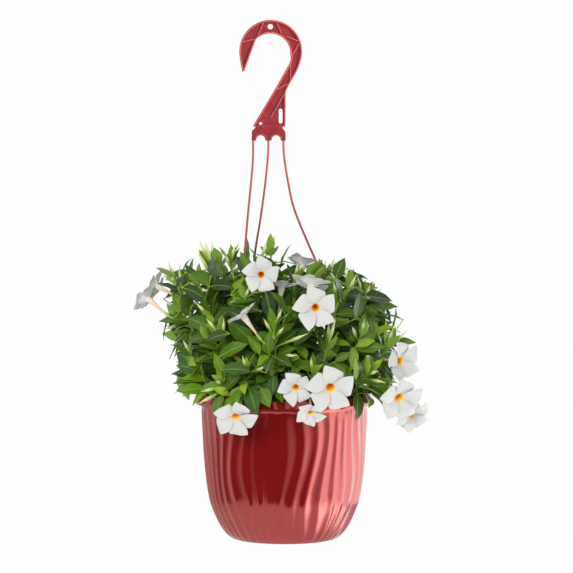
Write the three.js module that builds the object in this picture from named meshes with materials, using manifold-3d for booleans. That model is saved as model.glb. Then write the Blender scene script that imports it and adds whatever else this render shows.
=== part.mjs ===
// A white mandevilla in a red hanging pot. Millimetres, +Z up. The origin is the point of the hook that
// takes the weight. The pot, the soil, the stems and the blooms are modelled from the centre of the rim.

import * as THREE from 'three';
import { mergeVertices } from 'three/addons/utils/BufferGeometryUtils.js';
import Module from 'manifold-3d';

const wasm = await Module();
wasm.setup();

// Driving dimensions of the pot
const POT_HEIGHT = 212;
const RIM_RADIUS = 121;
const LIP_RADIUS = 130;
const LIP_DROP = 11.5;
const LEDGE_DROP = 16;
const WALL = 3;
const COLLAR_WALL = 2;
const FLUTES = 40;
const FLUTE_DEPTH = 1.3;
const INNER_SIDES = 21;
const DRAIN_HOLES = 5;
const DRAIN_RADIUS = 5;
const DRAIN_CIRCLE = 52;
const SOIL_DROP = 20;
const SOIL_LEVELS = [0, 1, 3, 5, 6];
const GAP = 0.4;

// The hook hangs this far above the rim, and a little to the left of the pot's axis
const HOOK_RISE = 518;
const HOOK_SHIFT = 19.6;

// Driving dimensions of the hanger
const WEB_THICKNESS = 2.4;
const FLANGE_DEPTH = 7;
const FLANGE_WIDTH = 2.6;
const YOKE_DEPTH = 6;
const STRAND_RADIUS = 1.6;
const STRAND_END_RADIUS = 122.8;
const SLOT_RADIUS = 2.4;
const BARB_RADIUS = 2.7;

// Driving dimensions of the plant
const STEM_RADIUS = 1.9;
const STEM_STATIONS = [0, 0.36, 0.7, 1];
const STALK_RADIUS = 1.2;
const CALYX_RADIUS = 2.8;
const CALYX_LENGTH = 6;
const CALYX_GAP = 0.3;
const BUD_RADIUS = 2.7;
const TUBE_RADIUS = 1.7;
const ROOT_DEPTH = 12;
const ROOT_CIRCLE = 96;
const LEAF_THICKNESS = 1.6;
const LEAF_STALK = 0.1;
const LEAF_FOLD = 0.22;
const STALK_HALF = 1;
const GROWN_STATIONS = [0.12, 0.38, 0.7];
const YOUNG_STATIONS = [0.36, 0.7];
const BLADE_START = 0.16;
const CLEARANCE = 0.4;
const LEAF_TRIES = 14;
const CROWN_RADIUS = 192;
const CROWN_TOP = 226;

const vector = (values) => new THREE.Vector3(...values);
const mix = THREE.MathUtils.lerp;
const radians = THREE.MathUtils.degToRad;

// Solids and geometries
function solidOf(geometry) {
  geometry.deleteAttribute('normal');
  geometry.deleteAttribute('uv');
  const merged = mergeVertices(geometry, 1e-4);
  const corners = merged.index.array;
  const kept = [];
  for (let i = 0; i < corners.length; i += 3) {
    const [a, b, c] = [corners[i], corners[i + 1], corners[i + 2]];
    if (a !== b && b !== c && c !== a) kept.push(a, b, c);
  }
  const build = (triangles) => new wasm.Manifold(new wasm.Mesh({
    numProp: 3,
    vertProperties: new Float32Array(merged.attributes.position.array),
    triVerts: new Uint32Array(triangles),
  }));
  const solid = build(kept);
  if (solid.volume() > 0) return solid;
  return build(kept.reverse());
}

function geometryOf(solid) {
  const mesh = solid.getMesh();
  const geometry = new THREE.BufferGeometry();
  geometry.setAttribute('position', new THREE.BufferAttribute(mesh.vertProperties, 3));
  geometry.setIndex(new THREE.BufferAttribute(mesh.triVerts, 1));
  geometry.computeVertexNormals();
  return geometry;
}

const joined = (solids) => solids.reduce((whole, solid) => whole.add(solid));

// A closed skin over rings of points; a ring of one point closes an end
function skin(rings) {
  const positions = [];
  const corners = [];
  const starts = rings.map((ring) => {
    const start = positions.length / 3;
    ring.forEach((p) => positions.push(p.x, p.y, p.z));
    return start;
  });
  for (let i = 0; i + 1 < rings.length; i += 1) {
    const lower = rings[i].length;
    const upper = rings[i + 1].length;
    const sides = Math.max(lower, upper);
    for (let k = 0; k < sides; k += 1) {
      const next = (k + 1) % sides;
      const a = starts[i] + (lower === 1 ? 0 : k);
      const b = starts[i] + (lower === 1 ? 0 : next);
      const c = starts[i + 1] + (upper === 1 ? 0 : next);
      const d = starts[i + 1] + (upper === 1 ? 0 : k);
      if (lower > 1) corners.push(a, b, d);
      if (upper > 1) corners.push(b, c, d);
    }
  }
  const geometry = new THREE.BufferGeometry();
  geometry.setAttribute('position', new THREE.Float32BufferAttribute(positions, 3));
  geometry.setIndex(corners);
  return solidOf(geometry);
}

function ringAround(centre, u, v, radius, sides) {
  return Array.from({ length: sides }, (_, k) => {
    const turn = (2 * Math.PI * k) / sides;
    return centre.clone()
      .addScaledVector(u, radius * Math.cos(turn))
      .addScaledVector(v, radius * Math.sin(turn));
  });
}

// A round rod along a curve, with its own radius at each station
function rod(curve, radii, sides) {
  const steps = radii.length - 1;
  const frames = curve.computeFrenetFrames(steps);
  const rings = radii.map((radius, i) => ringAround(
    curve.getPointAt(i / steps), frames.normals[i], frames.binormals[i], radius, sides,
  ));
  return skin([[curve.getPointAt(0)], ...rings, [curve.getPointAt(1)]]);
}

function turned(profile, sides) {
  const points = profile.map(([radius, z]) => new THREE.Vector2(radius, z));
  return solidOf(new THREE.LatheGeometry(points, sides).rotateX(Math.PI / 2));
}

// A flat outline in X and Z, given its depth along Y, half to each side
function plate(shape, depth) {
  const geometry = new THREE.ExtrudeGeometry(shape, { depth, bevelEnabled: false, curveSegments: 12 });
  geometry.rotateX(Math.PI / 2);
  geometry.translate(0, depth / 2, 0);
  return solidOf(geometry);
}

// Random draws from whole-number keys, the same on every run
function draw(...keys) {
  let hash = 2166136261;
  for (const key of keys) {
    hash = Math.imul(hash ^ (key + 374761393), 16777619);
    hash ^= hash >>> 13;
  }
  hash = Math.imul(hash ^ (hash >>> 15), 2246822519);
  hash ^= hash >>> 13;
  return (hash >>> 0) / 4294967296;
}
const spread = (range, ...keys) => (2 * draw(...keys) - 1) * range;

// The pot's outer profile: height above the base, radius, and how deep its flutes are there
const POT_PROFILE = [
  [0, 78, 0.3], [9, 87, 0.8], [26, 97, 1], [55, 108, 1], [95, 114, 1], [145, 117.6, 1],
  [POT_HEIGHT - LEDGE_DROP, 120, 0.8],
];

// A flute's ridges and valleys wander sideways on their way up
function fluteWander(angle, height) {
  const rise = height / POT_HEIGHT;
  return 0.05 * Math.sin(4.4 * rise + 2 * angle + 0.6)
    + 0.028 * Math.sin(8.2 * rise - 5 * angle + 2.1);
}

function fluteJitter(angle) {
  return 0.9 * Math.sin(3 * angle + 1.3) + 0.7 * Math.sin(7 * angle + 0.4) + 0.5 * Math.sin(11 * angle + 2.2);
}

// The angle at which the flute pattern reaches a phase, at a height
function fluteAngle(phase, height) {
  let angle = phase / FLUTES;
  for (let i = 0; i < 12; i += 1) {
    angle = (phase - fluteJitter(angle)) / FLUTES + fluteWander(angle, height);
  }
  return angle;
}

function makePot() {
  const columns = 2 * FLUTES;
  const round = (radius, height, depth) => Array.from({ length: columns }, (_, k) => {
    const angle = fluteAngle(Math.PI * k, height);
    const r = radius + depth * FLUTE_DEPTH * (k % 2 ? -1 : 1);
    return new THREE.Vector3(r * Math.cos(angle), r * Math.sin(angle), height - POT_HEIGHT);
  });
  const ledge = POT_HEIGHT - LEDGE_DROP;
  const outside = skin([
    [new THREE.Vector3(0, 0, -POT_HEIGHT)],
    ...POT_PROFILE.map(([height, radius, depth]) => round(radius, height, depth)),
    round(LIP_RADIUS - 1, ledge, 0),
    round(LIP_RADIUS, POT_HEIGHT - LIP_DROP, 0),
    round(RIM_RADIUS, POT_HEIGHT, 0),
    [new THREE.Vector3(0, 0, 0)],
  ]);
  const inside = turned([
    ...innerProfile(0),
    [RIM_RADIUS - 4, COLLAR_WALL - LEDGE_DROP],
    [LIP_RADIUS - 2.6, COLLAR_WALL - LEDGE_DROP],
    [LIP_RADIUS - 2, -LIP_DROP - 1.3],
    [RIM_RADIUS - 2, -0.8],
    [RIM_RADIUS - 2, 1],
    [0, 1],
  ], INNER_SIDES);
  let pot = outside.subtract(inside);
  for (let k = 0; k < DRAIN_HOLES; k += 1) {
    const angle = (2 * Math.PI * k) / DRAIN_HOLES;
    const hole = new THREE.CylinderGeometry(DRAIN_RADIUS, DRAIN_RADIUS, 12, 8).rotateX(Math.PI / 2);
    hole.translate(DRAIN_CIRCLE * Math.cos(angle), DRAIN_CIRCLE * Math.sin(angle), -POT_HEIGHT);
    pot = pot.subtract(solidOf(hole));
  }
  for (const angle of STRAND_ENDS) {
    const slot = new THREE.CylinderGeometry(SLOT_RADIUS, SLOT_RADIUS, LIP_DROP, 8);
    slot.rotateX(Math.PI / 2);
    slot.translate(STRAND_END_RADIUS * Math.cos(angle), STRAND_END_RADIUS * Math.sin(angle), -0.4 * LIP_DROP);
    pot = pot.subtract(solidOf(slot));
  }
  return pot;
}

// The pot's inner wall from the middle of its floor up to the ledge, drawn in by a gap
function innerProfile(gap) {
  const wall = POT_PROFILE.slice(1).map(([height, radius]) => [radius - WALL - gap, height - POT_HEIGHT]);
  const floor = WALL + 0.5 + gap - POT_HEIGHT;
  return [[0, floor], [POT_PROFILE[0][1] - gap, floor], ...wall];
}

// Soil: it follows some levels of the pot's inner wall to below the ledge, and every stem stands in a
// plain hole in it
function makeSoil(shoots) {
  const wall = innerProfile(GAP).filter((_, level) => SOIL_LEVELS.includes(level));
  let soil = turned([
    ...wall,
    [RIM_RADIUS - 5.5, -SOIL_DROP],
    [0, -SOIL_DROP],
  ], INNER_SIDES);
  for (const shoot of shoots) soil = soil.subtract(stemSolid(shoot, GAP + 0.1).translate([0, 0, -GAP]));
  return soil;
}

// Hanger: the angles at which its three strands meet the collar
const STRAND_ENDS = [240, 120, 0].map(radians);

const outline = (points) => new THREE.Shape(points.map(([x, z]) => new THREE.Vector2(x, z)));

// A flange or rib of the hook plate: a strip of even width along a line of points
function strip(points, width, depth) {
  const line = points.map(([x, z]) => new THREE.Vector2(x, z));
  const offset = (side) => line.map((p, i) => {
    const before = line[Math.max(i - 1, 0)];
    const after = line[Math.min(i + 1, line.length - 1)];
    const along = after.clone().sub(before).normalize();
    return new THREE.Vector2(p.x - along.y * side, p.y + along.x * side);
  });
  return plate(new THREE.Shape([...offset(width / 2), ...offset(-width / 2).reverse()]), depth);
}

function arcPoints(x, z, radius, from, to, count) {
  return Array.from({ length: count + 1 }, (_, i) => {
    const turn = radians(mix(from, to, i / count));
    return [x + radius * Math.cos(turn), z + radius * Math.sin(turn)];
  });
}

function hookPlate() {
  const inner = [
    [-36.6, -48.5], [-22.6, -8.9], ...arcPoints(-0.7, -28.7, 30, 134, 0, 9), [28.3, -43.5], [8.5, -79.4],
    [-23.2, -131.8],
  ];
  const outer = [
    [-40.4, -51], [-42.6, -40], ...arcPoints(0, -25.7, 43.9, 181, -24, 14), [37.9, -54.6], [27.5, -69.4],
    [20.2, -83.9], [19.8, -131.8],
  ];
  const yoke = [
    [-23.6, -131], [-22.1, -135.4], [-27.3, -139.9], [-27.6, -153.9],
    ...arcPoints(-14.4, -152.6, 6.4, 190, -10, 4), ...arcPoints(7.8, -152.6, 6.4, 190, -10, 4),
    [21.6, -153.9], [21.1, -141.4], [16.6, -135.4], [20.4, -131],
  ];
  const ribs = [
    [[-10.3, 16], [-19.9, -5.8]], [[-41, -12.4], [-23.5, -8.1]], [[8.1, 16], [15.5, 0]],
    [[22, -4.3], [40, -11]], [[41.5, -12.4], [29, -34.5]], [[28, -43.5], [28.7, -68.4]],
    [[27, -71], [7.4, -81]], [[20.6, -84.5], [-0.7, -121.4]],
  ];
  const bars = [
    strip(inner, FLANGE_WIDTH, FLANGE_DEPTH),
    strip(outer, FLANGE_WIDTH, FLANGE_DEPTH),
    ...ribs.map((points) => strip(points, 0.7 * FLANGE_WIDTH, 0.8 * FLANGE_DEPTH)),
    plate(outline(yoke), YOKE_DEPTH),
  ];
  const holes = [
    new THREE.CylinderGeometry(3.8, 3.8, 2 * FLANGE_DEPTH, 10).translate(-0.7, 0, 9.7),
    new THREE.CylinderGeometry(2.3, 2.3, 2 * FLANGE_DEPTH, 8).translate(-15.2, 0, -128),
    new THREE.BoxGeometry(5.5, 2 * FLANGE_DEPTH, 19).translate(14.2, 0, -118),
  ];
  const web = plate(outline([...inner, ...outer.reverse()]), WEB_THICKNESS);
  return holes.reduce((hook, hole) => hook.subtract(solidOf(hole)), joined([web, ...bars]));
}

// The strands leave the yoke side by side, bow outward and come down through the collar's slots
const STRAND_ROUTES = [
  [[-44.9, 0, 368], [-44.9, -0.3, 354], [-45.3, -1.5, 334], [-48.5, -5.9, 296], [-53, -16, 251],
    [-57.2, -35.4, 200], [-61.5, -57, 146], [-64.9, -78, 90], [-67, -94, 40]],
  [[-23, 0, 368], [-23.1, 0.3, 352], [-24.2, 2, 333], [-28.1, 6.5, 296], [-34.5, 17, 249],
    [-42.2, 35, 201], [-48, 58, 146], [-52.6, 82, 90], [-55.4, 99, 40]],
  [[-1.6, 0, 368], [-1.2, 0, 352], [0.5, -0.1, 333], [5.4, -0.3, 303], [13.6, -0.6, 266],
    [32.1, -1.6, 219.4], [57.9, -2.8, 162], [88.5, -4.4, 96], [112.5, -5.6, 38]],
];

// A strand's barb below the collar wall: radius and height
const BARB_PROFILE = [[0, -13.4], [1.2, -13.4], [BARB_RADIUS, -10.6], [STRAND_RADIUS, -9.6], [0, -9.6]];

function makeHanger() {
  const hook = hookPlate().translate([-HOOK_SHIFT, 0, HOOK_RISE]);
  const strands = STRAND_ROUTES.map((route, i) => {
    const x = STRAND_END_RADIUS * Math.cos(STRAND_ENDS[i]);
    const y = STRAND_END_RADIUS * Math.sin(STRAND_ENDS[i]);
    const ends = [[x, y, 12], [x, y, -10.2]].map(vector);
    const curve = new THREE.CatmullRomCurve3([...route.map(vector), ...ends]);
    const strand = rod(curve, Array(15).fill(STRAND_RADIUS), 6);
    const barb = turned(BARB_PROFILE, 6);
    return strand.add(barb.translate([x, y, 0]));
  });
  return joined([hook, ...strands]);
}

// Shoots: where each tip stands, how many pairs of leaves it bears and how long its leaves are.
// The first twenty-two are the ones that show from the front, the rest close the crown round the back.
const SHOOTS = [
  { tip: [-91, -80, 91], pairs: 4, leaf: 54 },
  { tip: [-104, -58, 115], pairs: 4, leaf: 56 },
  { tip: [-132, -35, 55], pairs: 3, leaf: 50 },
  { tip: [-147, -18, 117], pairs: 4, leaf: 46 },
  { tip: [-155, -2, 153], pairs: 4, leaf: 44 },
  { tip: [-124, -45, 161], pairs: 4, leaf: 46 },
  { tip: [-105, 8, 181], pairs: 4, leaf: 46 },
  { tip: [-78, -25, 188], pairs: 4, leaf: 46 },
  { tip: [-36, 20, 182], pairs: 4, leaf: 46 },
  { tip: [-15, -100, 99], pairs: 4, leaf: 52 },
  { tip: [-52, -98, 38], pairs: 3, leaf: 52 },
  { tip: [-58, -66, 140], pairs: 4, leaf: 48 },
  { tip: [14, -15, 157], pairs: 4, leaf: 46 },
  { tip: [62, -92, 71], pairs: 4, leaf: 50 },
  { tip: [77, -60, 136], pairs: 4, leaf: 50 },
  { tip: [92, -24, 152], pairs: 4, leaf: 46 },
  { tip: [118, 4, 131], pairs: 4, leaf: 48 },
  { tip: [110, -58, 87], pairs: 4, leaf: 50 },
  { tip: [147, -30, 65], pairs: 4, leaf: 50 },
  { tip: [118, -72, 32], pairs: 3, leaf: 50 },
  { tip: [40, -98, 36], pairs: 3, leaf: 46 },
  { tip: [-87, -98, 24], pairs: 3, leaf: 48 },
  { tip: [-95, 72, 168], pairs: 4, leaf: 50 },
  { tip: [-20, 74, 190], pairs: 3, leaf: 48 },
  { tip: [62, 70, 158], pairs: 3, leaf: 48 },
  { tip: [132, 66, 100], pairs: 4, leaf: 50 },
  { tip: [-148, 58, 100], pairs: 4, leaf: 50 },
  { tip: [-66, 128, 92], pairs: 3, leaf: 52 },
  { tip: [14, 136, 104], pairs: 3, leaf: 52 },
  { tip: [90, 118, 66], pairs: 3, leaf: 50 },
  { tip: [-116, 98, 40], pairs: 3, leaf: 50 },
  { tip: [2, 118, 30], pairs: 2, leaf: 48 },
].map((shoot, index) => growShoot(shoot, index));

// A stem rises from its root in the soil and bows outward to its tip
function growShoot({ tip, pairs, leaf }, index) {
  const end = vector(tip);
  const reach = Math.hypot(end.x, end.y);
  const spacing = Math.min(0.74 - 0.0014 * end.z, ROOT_CIRCLE / reach);
  const root = new THREE.Vector3(end.x * spacing, end.y * spacing, -SOIL_DROP - ROOT_DEPTH);
  const rise = end.z - root.z;
  const out = new THREE.Vector3(end.x - root.x, end.y - root.y, 0);
  const curve = new THREE.CubicBezierCurve3(
    root,
    root.clone().addScaledVector(out, 0.06).setZ(root.z + 0.45 * rise),
    root.clone().addScaledVector(out, 0.7).setZ(root.z + 0.72 * rise),
    end,
  );
  return { index, curve, pairs, leaf, root, tip: end, spin: spread(Math.PI, index, 1) };
}

// The point at a share of a stem's length, on the straight runs between its stations
function stemPoint({ curve }, share) {
  const next = Math.max(1, STEM_STATIONS.findIndex((station) => station >= share));
  const [from, to] = [STEM_STATIONS[next - 1], STEM_STATIONS[next]];
  return curve.getPointAt(from).lerp(curve.getPointAt(to), (share - from) / (to - from));
}

// The stem at a share of its length: where it is, the way it runs, and the two ways its leaf pairs face
function stemFrame(shoot, share) {
  const stem = shoot.curve.getTangentAt(share);
  const level = new THREE.Vector3(0, 1, 0).cross(stem).normalize();
  const across = level.clone().applyAxisAngle(stem, shoot.spin);
  return { root: stemPoint(shoot, share), stem, across, third: stem.clone().cross(across) };
}

function stemSolid(shoot, margin) {
  const rings = STEM_STATIONS.map((share) => {
    const { root, across, third } = stemFrame(shoot, share);
    const radius = STEM_RADIUS * (1 - 0.25 * share) + margin;
    const corner = across.clone().add(third).normalize();
    return ringAround(root, corner, third.clone().sub(across).normalize(), radius, 4);
  });
  return skin([[rings[0][0].clone().lerp(rings[0][2], 0.5)], ...rings, [shoot.tip]]);
}

// Where a leaf would stand. Pairs of leaves cross at right angles up the stem, the lower ones lie flat
// and droop, the upper ones stand up; each further try turns and tilts the leaf a little more.
function placeLeaf(shoot, pair, side, attempt) {
  const key = [shoot.index, pair, side];
  const height = pair / (shoot.pairs - 1);
  const along = mix(0.36, 0.985, height) + spread(0.012, shoot.index, pair, 7);
  const { root, stem, across, third } = stemFrame(shoot, along);
  const loose = attempt * 0.16;
  const turn = (pair * Math.PI) / 2 + side * Math.PI + spread(0.12 + loose, ...key, attempt, 2);
  const lift = radians(mix(2, 62, height ** 1.2)) + spread(0.18 + loose, ...key, attempt, 3);
  const outward = across.multiplyScalar(Math.cos(turn)).addScaledVector(third, Math.sin(turn));
  const direction = outward.multiplyScalar(Math.cos(lift)).addScaledVector(stem, Math.sin(lift));
  direction.z += 0.05 + 0.1 * height;
  direction.normalize();
  const up = stem.clone().multiplyScalar(0.5).add(new THREE.Vector3(0, 0, 0.6));
  up.addScaledVector(direction, -up.dot(direction)).normalize();
  const young = Math.max(0, height - 0.55) / 0.45;
  const length = shoot.leaf * (1 - 0.28 * young) * (1 + spread(0.1, ...key, 4)) * (1 - 0.022 * attempt);
  return {
    root, direction, up, length, young,
    width: length * (0.4 - 0.1 * young + spread(0.03, ...key, 5)),
    arch: mix(0.26, 0.1, height) + spread(0.06, ...key, 6),
  };
}

// Half width of the blade from its foot to its drawn-out tip, as a share of the widest
const bladeWidth = (blade) => Math.sin(Math.PI * blade ** 0.74) ** 0.85 * (1 - 0.12 * blade);
const bladeShare = (share) => Math.max(0, (share - LEAF_STALK) / (1 - LEAF_STALK));

// A point of the leaf at a share of its length, on the midrib (0) or as high as the raised edge (0.5)
function leafPoint(place, share, side) {
  const bend = place.length * place.arch * share * (0.5 - share);
  const fold = LEAF_FOLD * side * place.width * bladeWidth(bladeShare(share));
  return place.root.clone()
    .addScaledVector(place.direction, place.length * share)
    .addScaledVector(place.up, bend + fold);
}

// A leaf from a share of its length to its tip: a blade with sharp edges and a raised keel below. A grown
// leaf has a stalk, and a young one narrows straight down to the stem.
function leafSolid(place, margin, from) {
  const across = place.direction.clone().cross(place.up);
  const stations = place.young > 0.3 ? YOUNG_STATIONS : GROWN_STATIONS;
  const rings = stations.filter((share) => share > from).map((share) => {
    const half = Math.max(STALK_HALF, 0.5 * place.width * bladeWidth(bladeShare(share))) + margin;
    const keel = LEAF_THICKNESS * (1 - 0.3 * bladeShare(share)) + margin;
    const edge = leafPoint(place, share, 0.5).addScaledVector(place.up, margin);
    return [
      edge.clone().addScaledVector(across, half),
      edge.clone().addScaledVector(across, -half),
      leafPoint(place, share, 0).addScaledVector(place.up, -keel),
    ];
  });
  const tip = leafPoint(place, 1, 0).addScaledVector(place.direction, margin);
  return skin([[leafPoint(place, from, 0)], ...rings, [tip]]);
}

// Buds: slim twisted spindles on short stalks, from a shoot, a share up it and the bud's tip
const BUDS = [
  [6, 0.97, [-124, 3, 222]], [6, 0.9, [-116, -8, 224]], [6, 0.99, [-104, 14, 219]],
  [6, 0.84, [-128, -6, 208]], [4, 0.97, [-168, -10, 190]], [4, 0.9, [-152, -20, 184]],
  [5, 0.92, [-136, -56, 164]], [5, 0.99, [-112, -62, 186]], [1, 0.97, [-128, -64, 136]],
  [3, 0.9, [-174, -28, 92]], [0, 0.97, [-112, -92, 116]], [11, 0.98, [-50, -92, 160]],
  [8, 0.98, [-26, 20, 218]], [12, 0.98, [20, -18, 191]], [15, 0.93, [66, -26, 176]],
  [15, 0.99, [88, -22, 186]], [16, 0.97, [104, -12, 172]], [14, 0.98, [70, -66, 166]],
  [9, 0.99, [-3, -104, 132]], [9, 0.92, [-30, -114, 118]], [9, 0.8, [36, -126, 98]],
  [9, 0.7, [20, -128, 66]], [13, 0.98, [63, -98, 112]], [20, 0.98, [38, -108, 62]],
  [10, 0.95, [-24, -122, 52]], [18, 0.96, [146, -32, 108]], [18, 0.86, [180, -36, 96]],
  [16, 0.99, [142, 2, 150]], [19, 0.9, [146, -84, 22]], [21, 0.9, [-120, -112, 12]],
  [22, 0.98, [-92, 76, 204]], [23, 0.98, [-14, 78, 222]], [24, 0.97, [74, 76, 190]],
  [25, 0.97, [150, 78, 130]], [28, 0.97, [20, 152, 134]], [26, 0.97, [-166, 68, 132]],
];

function budSolid([shoot, along, tip]) {
  const base = stemPoint(SHOOTS[shoot], along);
  const end = vector(tip);
  const axis = end.clone().sub(base).normalize();
  const u = new THREE.Vector3(0.3, 1, 0.2).cross(axis).normalize();
  const v = axis.clone().cross(u);
  const at = (share, radius) => ringAround(base.clone().lerp(end, share), u, v, radius, 4);
  return skin([[base], at(0.2, STALK_RADIUS), at(0.62, BUD_RADIUS), [end]]);
}

// Blooms: the middle of the face, the way it faces, the width across, how long the trumpet's tube is, how
// far the petals are turned, and the shoot and the share up it that the flower stalk grows from
const BLOOMS = [
  { face: [-33, -97, 178], aim: [0, -1, 0.02], width: 53, tube: 38, turn: 8, shoot: 11, from: 0.96 },
  { face: [44, -127, 134], aim: [0.02, -1, 0], width: 62, tube: 38, turn: 20, shoot: 14, from: 0.9 },
  { face: [-69, -156, -18], aim: [-0.06, -0.86, -0.5], width: 62, tube: 38, turn: -4, shoot: 21, from: 0.86 },
  { face: [16, -143, 22], aim: [-0.15, -0.97, -0.15], width: 49, tube: 36, turn: 30, shoot: 20, from: 0.72 },
  { face: [65, -154, 23], aim: [0.04, -0.97, -0.2], width: 69, tube: 40, turn: 14, shoot: 20, from: 0.92 },
  { face: [37, -143, -14], aim: [0.02, -0.84, -0.54], width: 42, tube: 30, turn: 50, shoot: 20, from: 0.84 },
  { face: [166, -62, 51], aim: [0.62, -0.78, 0.04], width: 58, tube: 36, turn: 25, shoot: 18, from: 0.8 },
  { face: [164, -80, 0], aim: [0.36, -0.86, -0.36], width: 66, tube: 38, turn: 12, shoot: 18, from: 0.6 },
  { face: [183, -50, -28], aim: [0.42, -0.78, -0.46], width: 52, tube: 38, turn: 40, shoot: 18, from: 0.66 },
  { face: [-196, -30, 137], aim: [-0.7, 0.5, 0.52], width: 46, tube: 39, turn: 0, shoot: 3, from: 0.97 },
  { face: [-184, 22, 150], aim: [-0.8, 0.46, 0.36], width: 44, tube: 34, turn: 30, shoot: 4, from: 0.88 },
  { face: [-58, -112, 120], aim: [-0.6, 0.05, 0.8], width: 50, tube: 37, turn: 10, shoot: 9, from: 0.8 },
  { face: [-4, -50, 156], aim: [0.1, 0.2, 0.97], width: 52, tube: 36, turn: 0, shoot: 12, from: 0.7 },
  { face: [38, -78, 160], aim: [0.2, 0.45, 0.87], width: 56, tube: 38, turn: 22, shoot: 14, from: 0.8 },
  { face: [27, 10, 182], aim: [0.3, 0.4, 0.86], width: 50, tube: 34, turn: 5, shoot: 12, from: 0.9 },
  { face: [-78, 142, 122], aim: [-0.3, 0.92, 0.2], width: 56, tube: 38, turn: 12, shoot: 27, from: 0.97 },
  { face: [50, 152, 122], aim: [0.15, 0.97, 0.18], width: 60, tube: 38, turn: 33, shoot: 28, from: 0.96 },
  { face: [118, 132, 90], aim: [0.5, 0.86, 0.1], width: 54, tube: 38, turn: 50, shoot: 25, from: 0.7 },
  { face: [-40, 166, 38], aim: [-0.15, 0.97, -0.1], width: 54, tube: 38, turn: 3, shoot: 31, from: 0.97 },
  { face: [-130, 126, 60], aim: [-0.6, 0.8, 0.1], width: 54, tube: 38, turn: 25, shoot: 30, from: 0.6 },
].map(standBloom);

function standBloom(bloom) {
  const aim = vector(bloom.aim).normalize();
  const face = vector(bloom.face);
  const side = new THREE.Vector3(0, 0, 1).cross(aim);
  if (side.length() < 0.3) side.set(1, 0, 0).cross(aim);
  side.normalize();
  const foot = face.clone().addScaledVector(aim, -bloom.tube);
  return { ...bloom, aim, face, side, up: aim.clone().cross(side), foot };
}

// A flower stalk with its calyx, from the stem to just short of the trumpet's foot
function stalkSolid(bloom) {
  const { root: start, stem: leaving } = stemFrame(SHOOTS[bloom.shoot], bloom.from);
  const calyx = bloom.foot.clone().addScaledVector(bloom.aim, -CALYX_LENGTH);
  const reach = 0.4 * start.distanceTo(calyx);
  const path = new THREE.CubicBezierCurve3(
    start,
    start.clone().addScaledVector(leaving, reach),
    calyx.clone().addScaledVector(bloom.aim, -reach),
    calyx,
  );
  const frames = path.computeFrenetFrames(2);
  const rings = [0, 1, 2].map((i) => ringAround(
    path.getPointAt(i / 2), frames.normals[i], frames.binormals[i], STALK_RADIUS, 4,
  ));
  const top = bloom.foot.clone().addScaledVector(bloom.aim, -CALYX_GAP);
  const cup = ringAround(top, frames.normals[2], frames.binormals[2], CALYX_RADIUS, 4);
  return skin([[start], ...rings, cup, [top]]);
}

// A corolla: a narrow tube that opens into a funnel, and five broad petals turned like a pinwheel
const PETAL = [[-34, 0.5, 0.15], [-25, 0.86, 0.24], [13, 1, 0.24], [34, 0.6, 0.17]];

function bloomSolid(bloom) {
  const radius = bloom.width / 2;
  const throat = 0.2 * radius;
  const point = (angle, r, height) => bloom.face.clone()
    .addScaledVector(bloom.side, r * Math.cos(angle))
    .addScaledVector(bloom.up, r * Math.sin(angle))
    .addScaledVector(bloom.aim, height);
  const spoke = (k) => radians(bloom.turn + 36 * k - 18);
  const ring = (r, height) => Array.from({ length: 10 }, (_, k) => point(spoke(k), r, height));
  const points = [];
  const corners = [];
  const add = (list) => {
    list.forEach((p) => points.push(p.x, p.y, p.z));
    return points.length / 3 - list.length;
  };
  const band = (lower, upper) => {
    for (let k = 0; k < 10; k += 1) {
      const next = (k + 1) % 10;
      corners.push(lower + k, lower + next, upper + next, lower + k, upper + next, upper + k);
    }
  };
  const pit = add([point(0, 0, -0.45 * bloom.tube)]);
  const mouth = add(ring(throat, 0));
  const brim = add(ring(throat + 0.9, -1.2));
  const tube = add(ring(TUBE_RADIUS, -0.66 * bloom.tube));
  const heel = add(ring(TUBE_RADIUS, -bloom.tube));
  const foot = add([point(0, 0, -bloom.tube)]);
  band(tube, brim);
  band(heel, tube);
  for (let k = 0; k < 10; k += 1) {
    const next = (k + 1) % 10;
    corners.push(pit, mouth + k, mouth + next);
    corners.push(foot, heel + next, heel + k);
    if (k % 2) corners.push(mouth + k, brim + k, brim + next, mouth + k, brim + next, mouth + next);
  }
  for (let petal = 0; petal < 5; petal += 1) {
    const [left, right] = [2 * petal, 2 * petal + 1];
    const middle = radians(bloom.turn + 72 * petal);
    const edge = add(PETAL.map(([angle, reach, height]) => point(
      middle + radians(angle), reach * radius, height * radius,
    )));
    const above = add([point(middle, 0.62 * radius, 0.18 * radius + 0.7)]);
    const below = add([point(middle, 0.62 * radius, 0.18 * radius - 0.9)]);
    const front = [mouth + left, edge, edge + 1, edge + 2, edge + 3, mouth + right];
    const back = [brim + left, edge, edge + 1, edge + 2, edge + 3, brim + right];
    for (let i = 0; i < 6; i += 1) {
      corners.push(above, front[i], front[(i + 1) % 6]);
      corners.push(below, back[(i + 1) % 6], back[i]);
    }
    corners.push(mouth + left, brim + left, edge, mouth + right, edge + 3, brim + right);
  }
  const geometry = new THREE.BufferGeometry();
  geometry.setAttribute('position', new THREE.Float32BufferAttribute(points, 3));
  geometry.setIndex(corners);
  return solidOf(geometry);
}

// Everything that is placed so far, by the node it belongs to, to grow the leaves clear of it
const placed = [];

function place(node, solid) {
  const box = solid.boundingBox();
  placed.push({ node, solid, box });
  return solid;
}

function isClear(solid, others) {
  const { min, max } = solid.boundingBox();
  return !others.some(({ box, solid: other }) => (
    [0, 1, 2].every((axis) => min[axis] < box.max[axis] && max[axis] > box.min[axis])
    && other.intersect(solid).volume() > 1e-6));
}

const inCrown = (tip) => Math.hypot(tip.x, tip.y) < CROWN_RADIUS && tip.z < CROWN_TOP
  && (tip.z > -26 || Math.hypot(tip.x, tip.y) < RIM_RADIUS);

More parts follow.
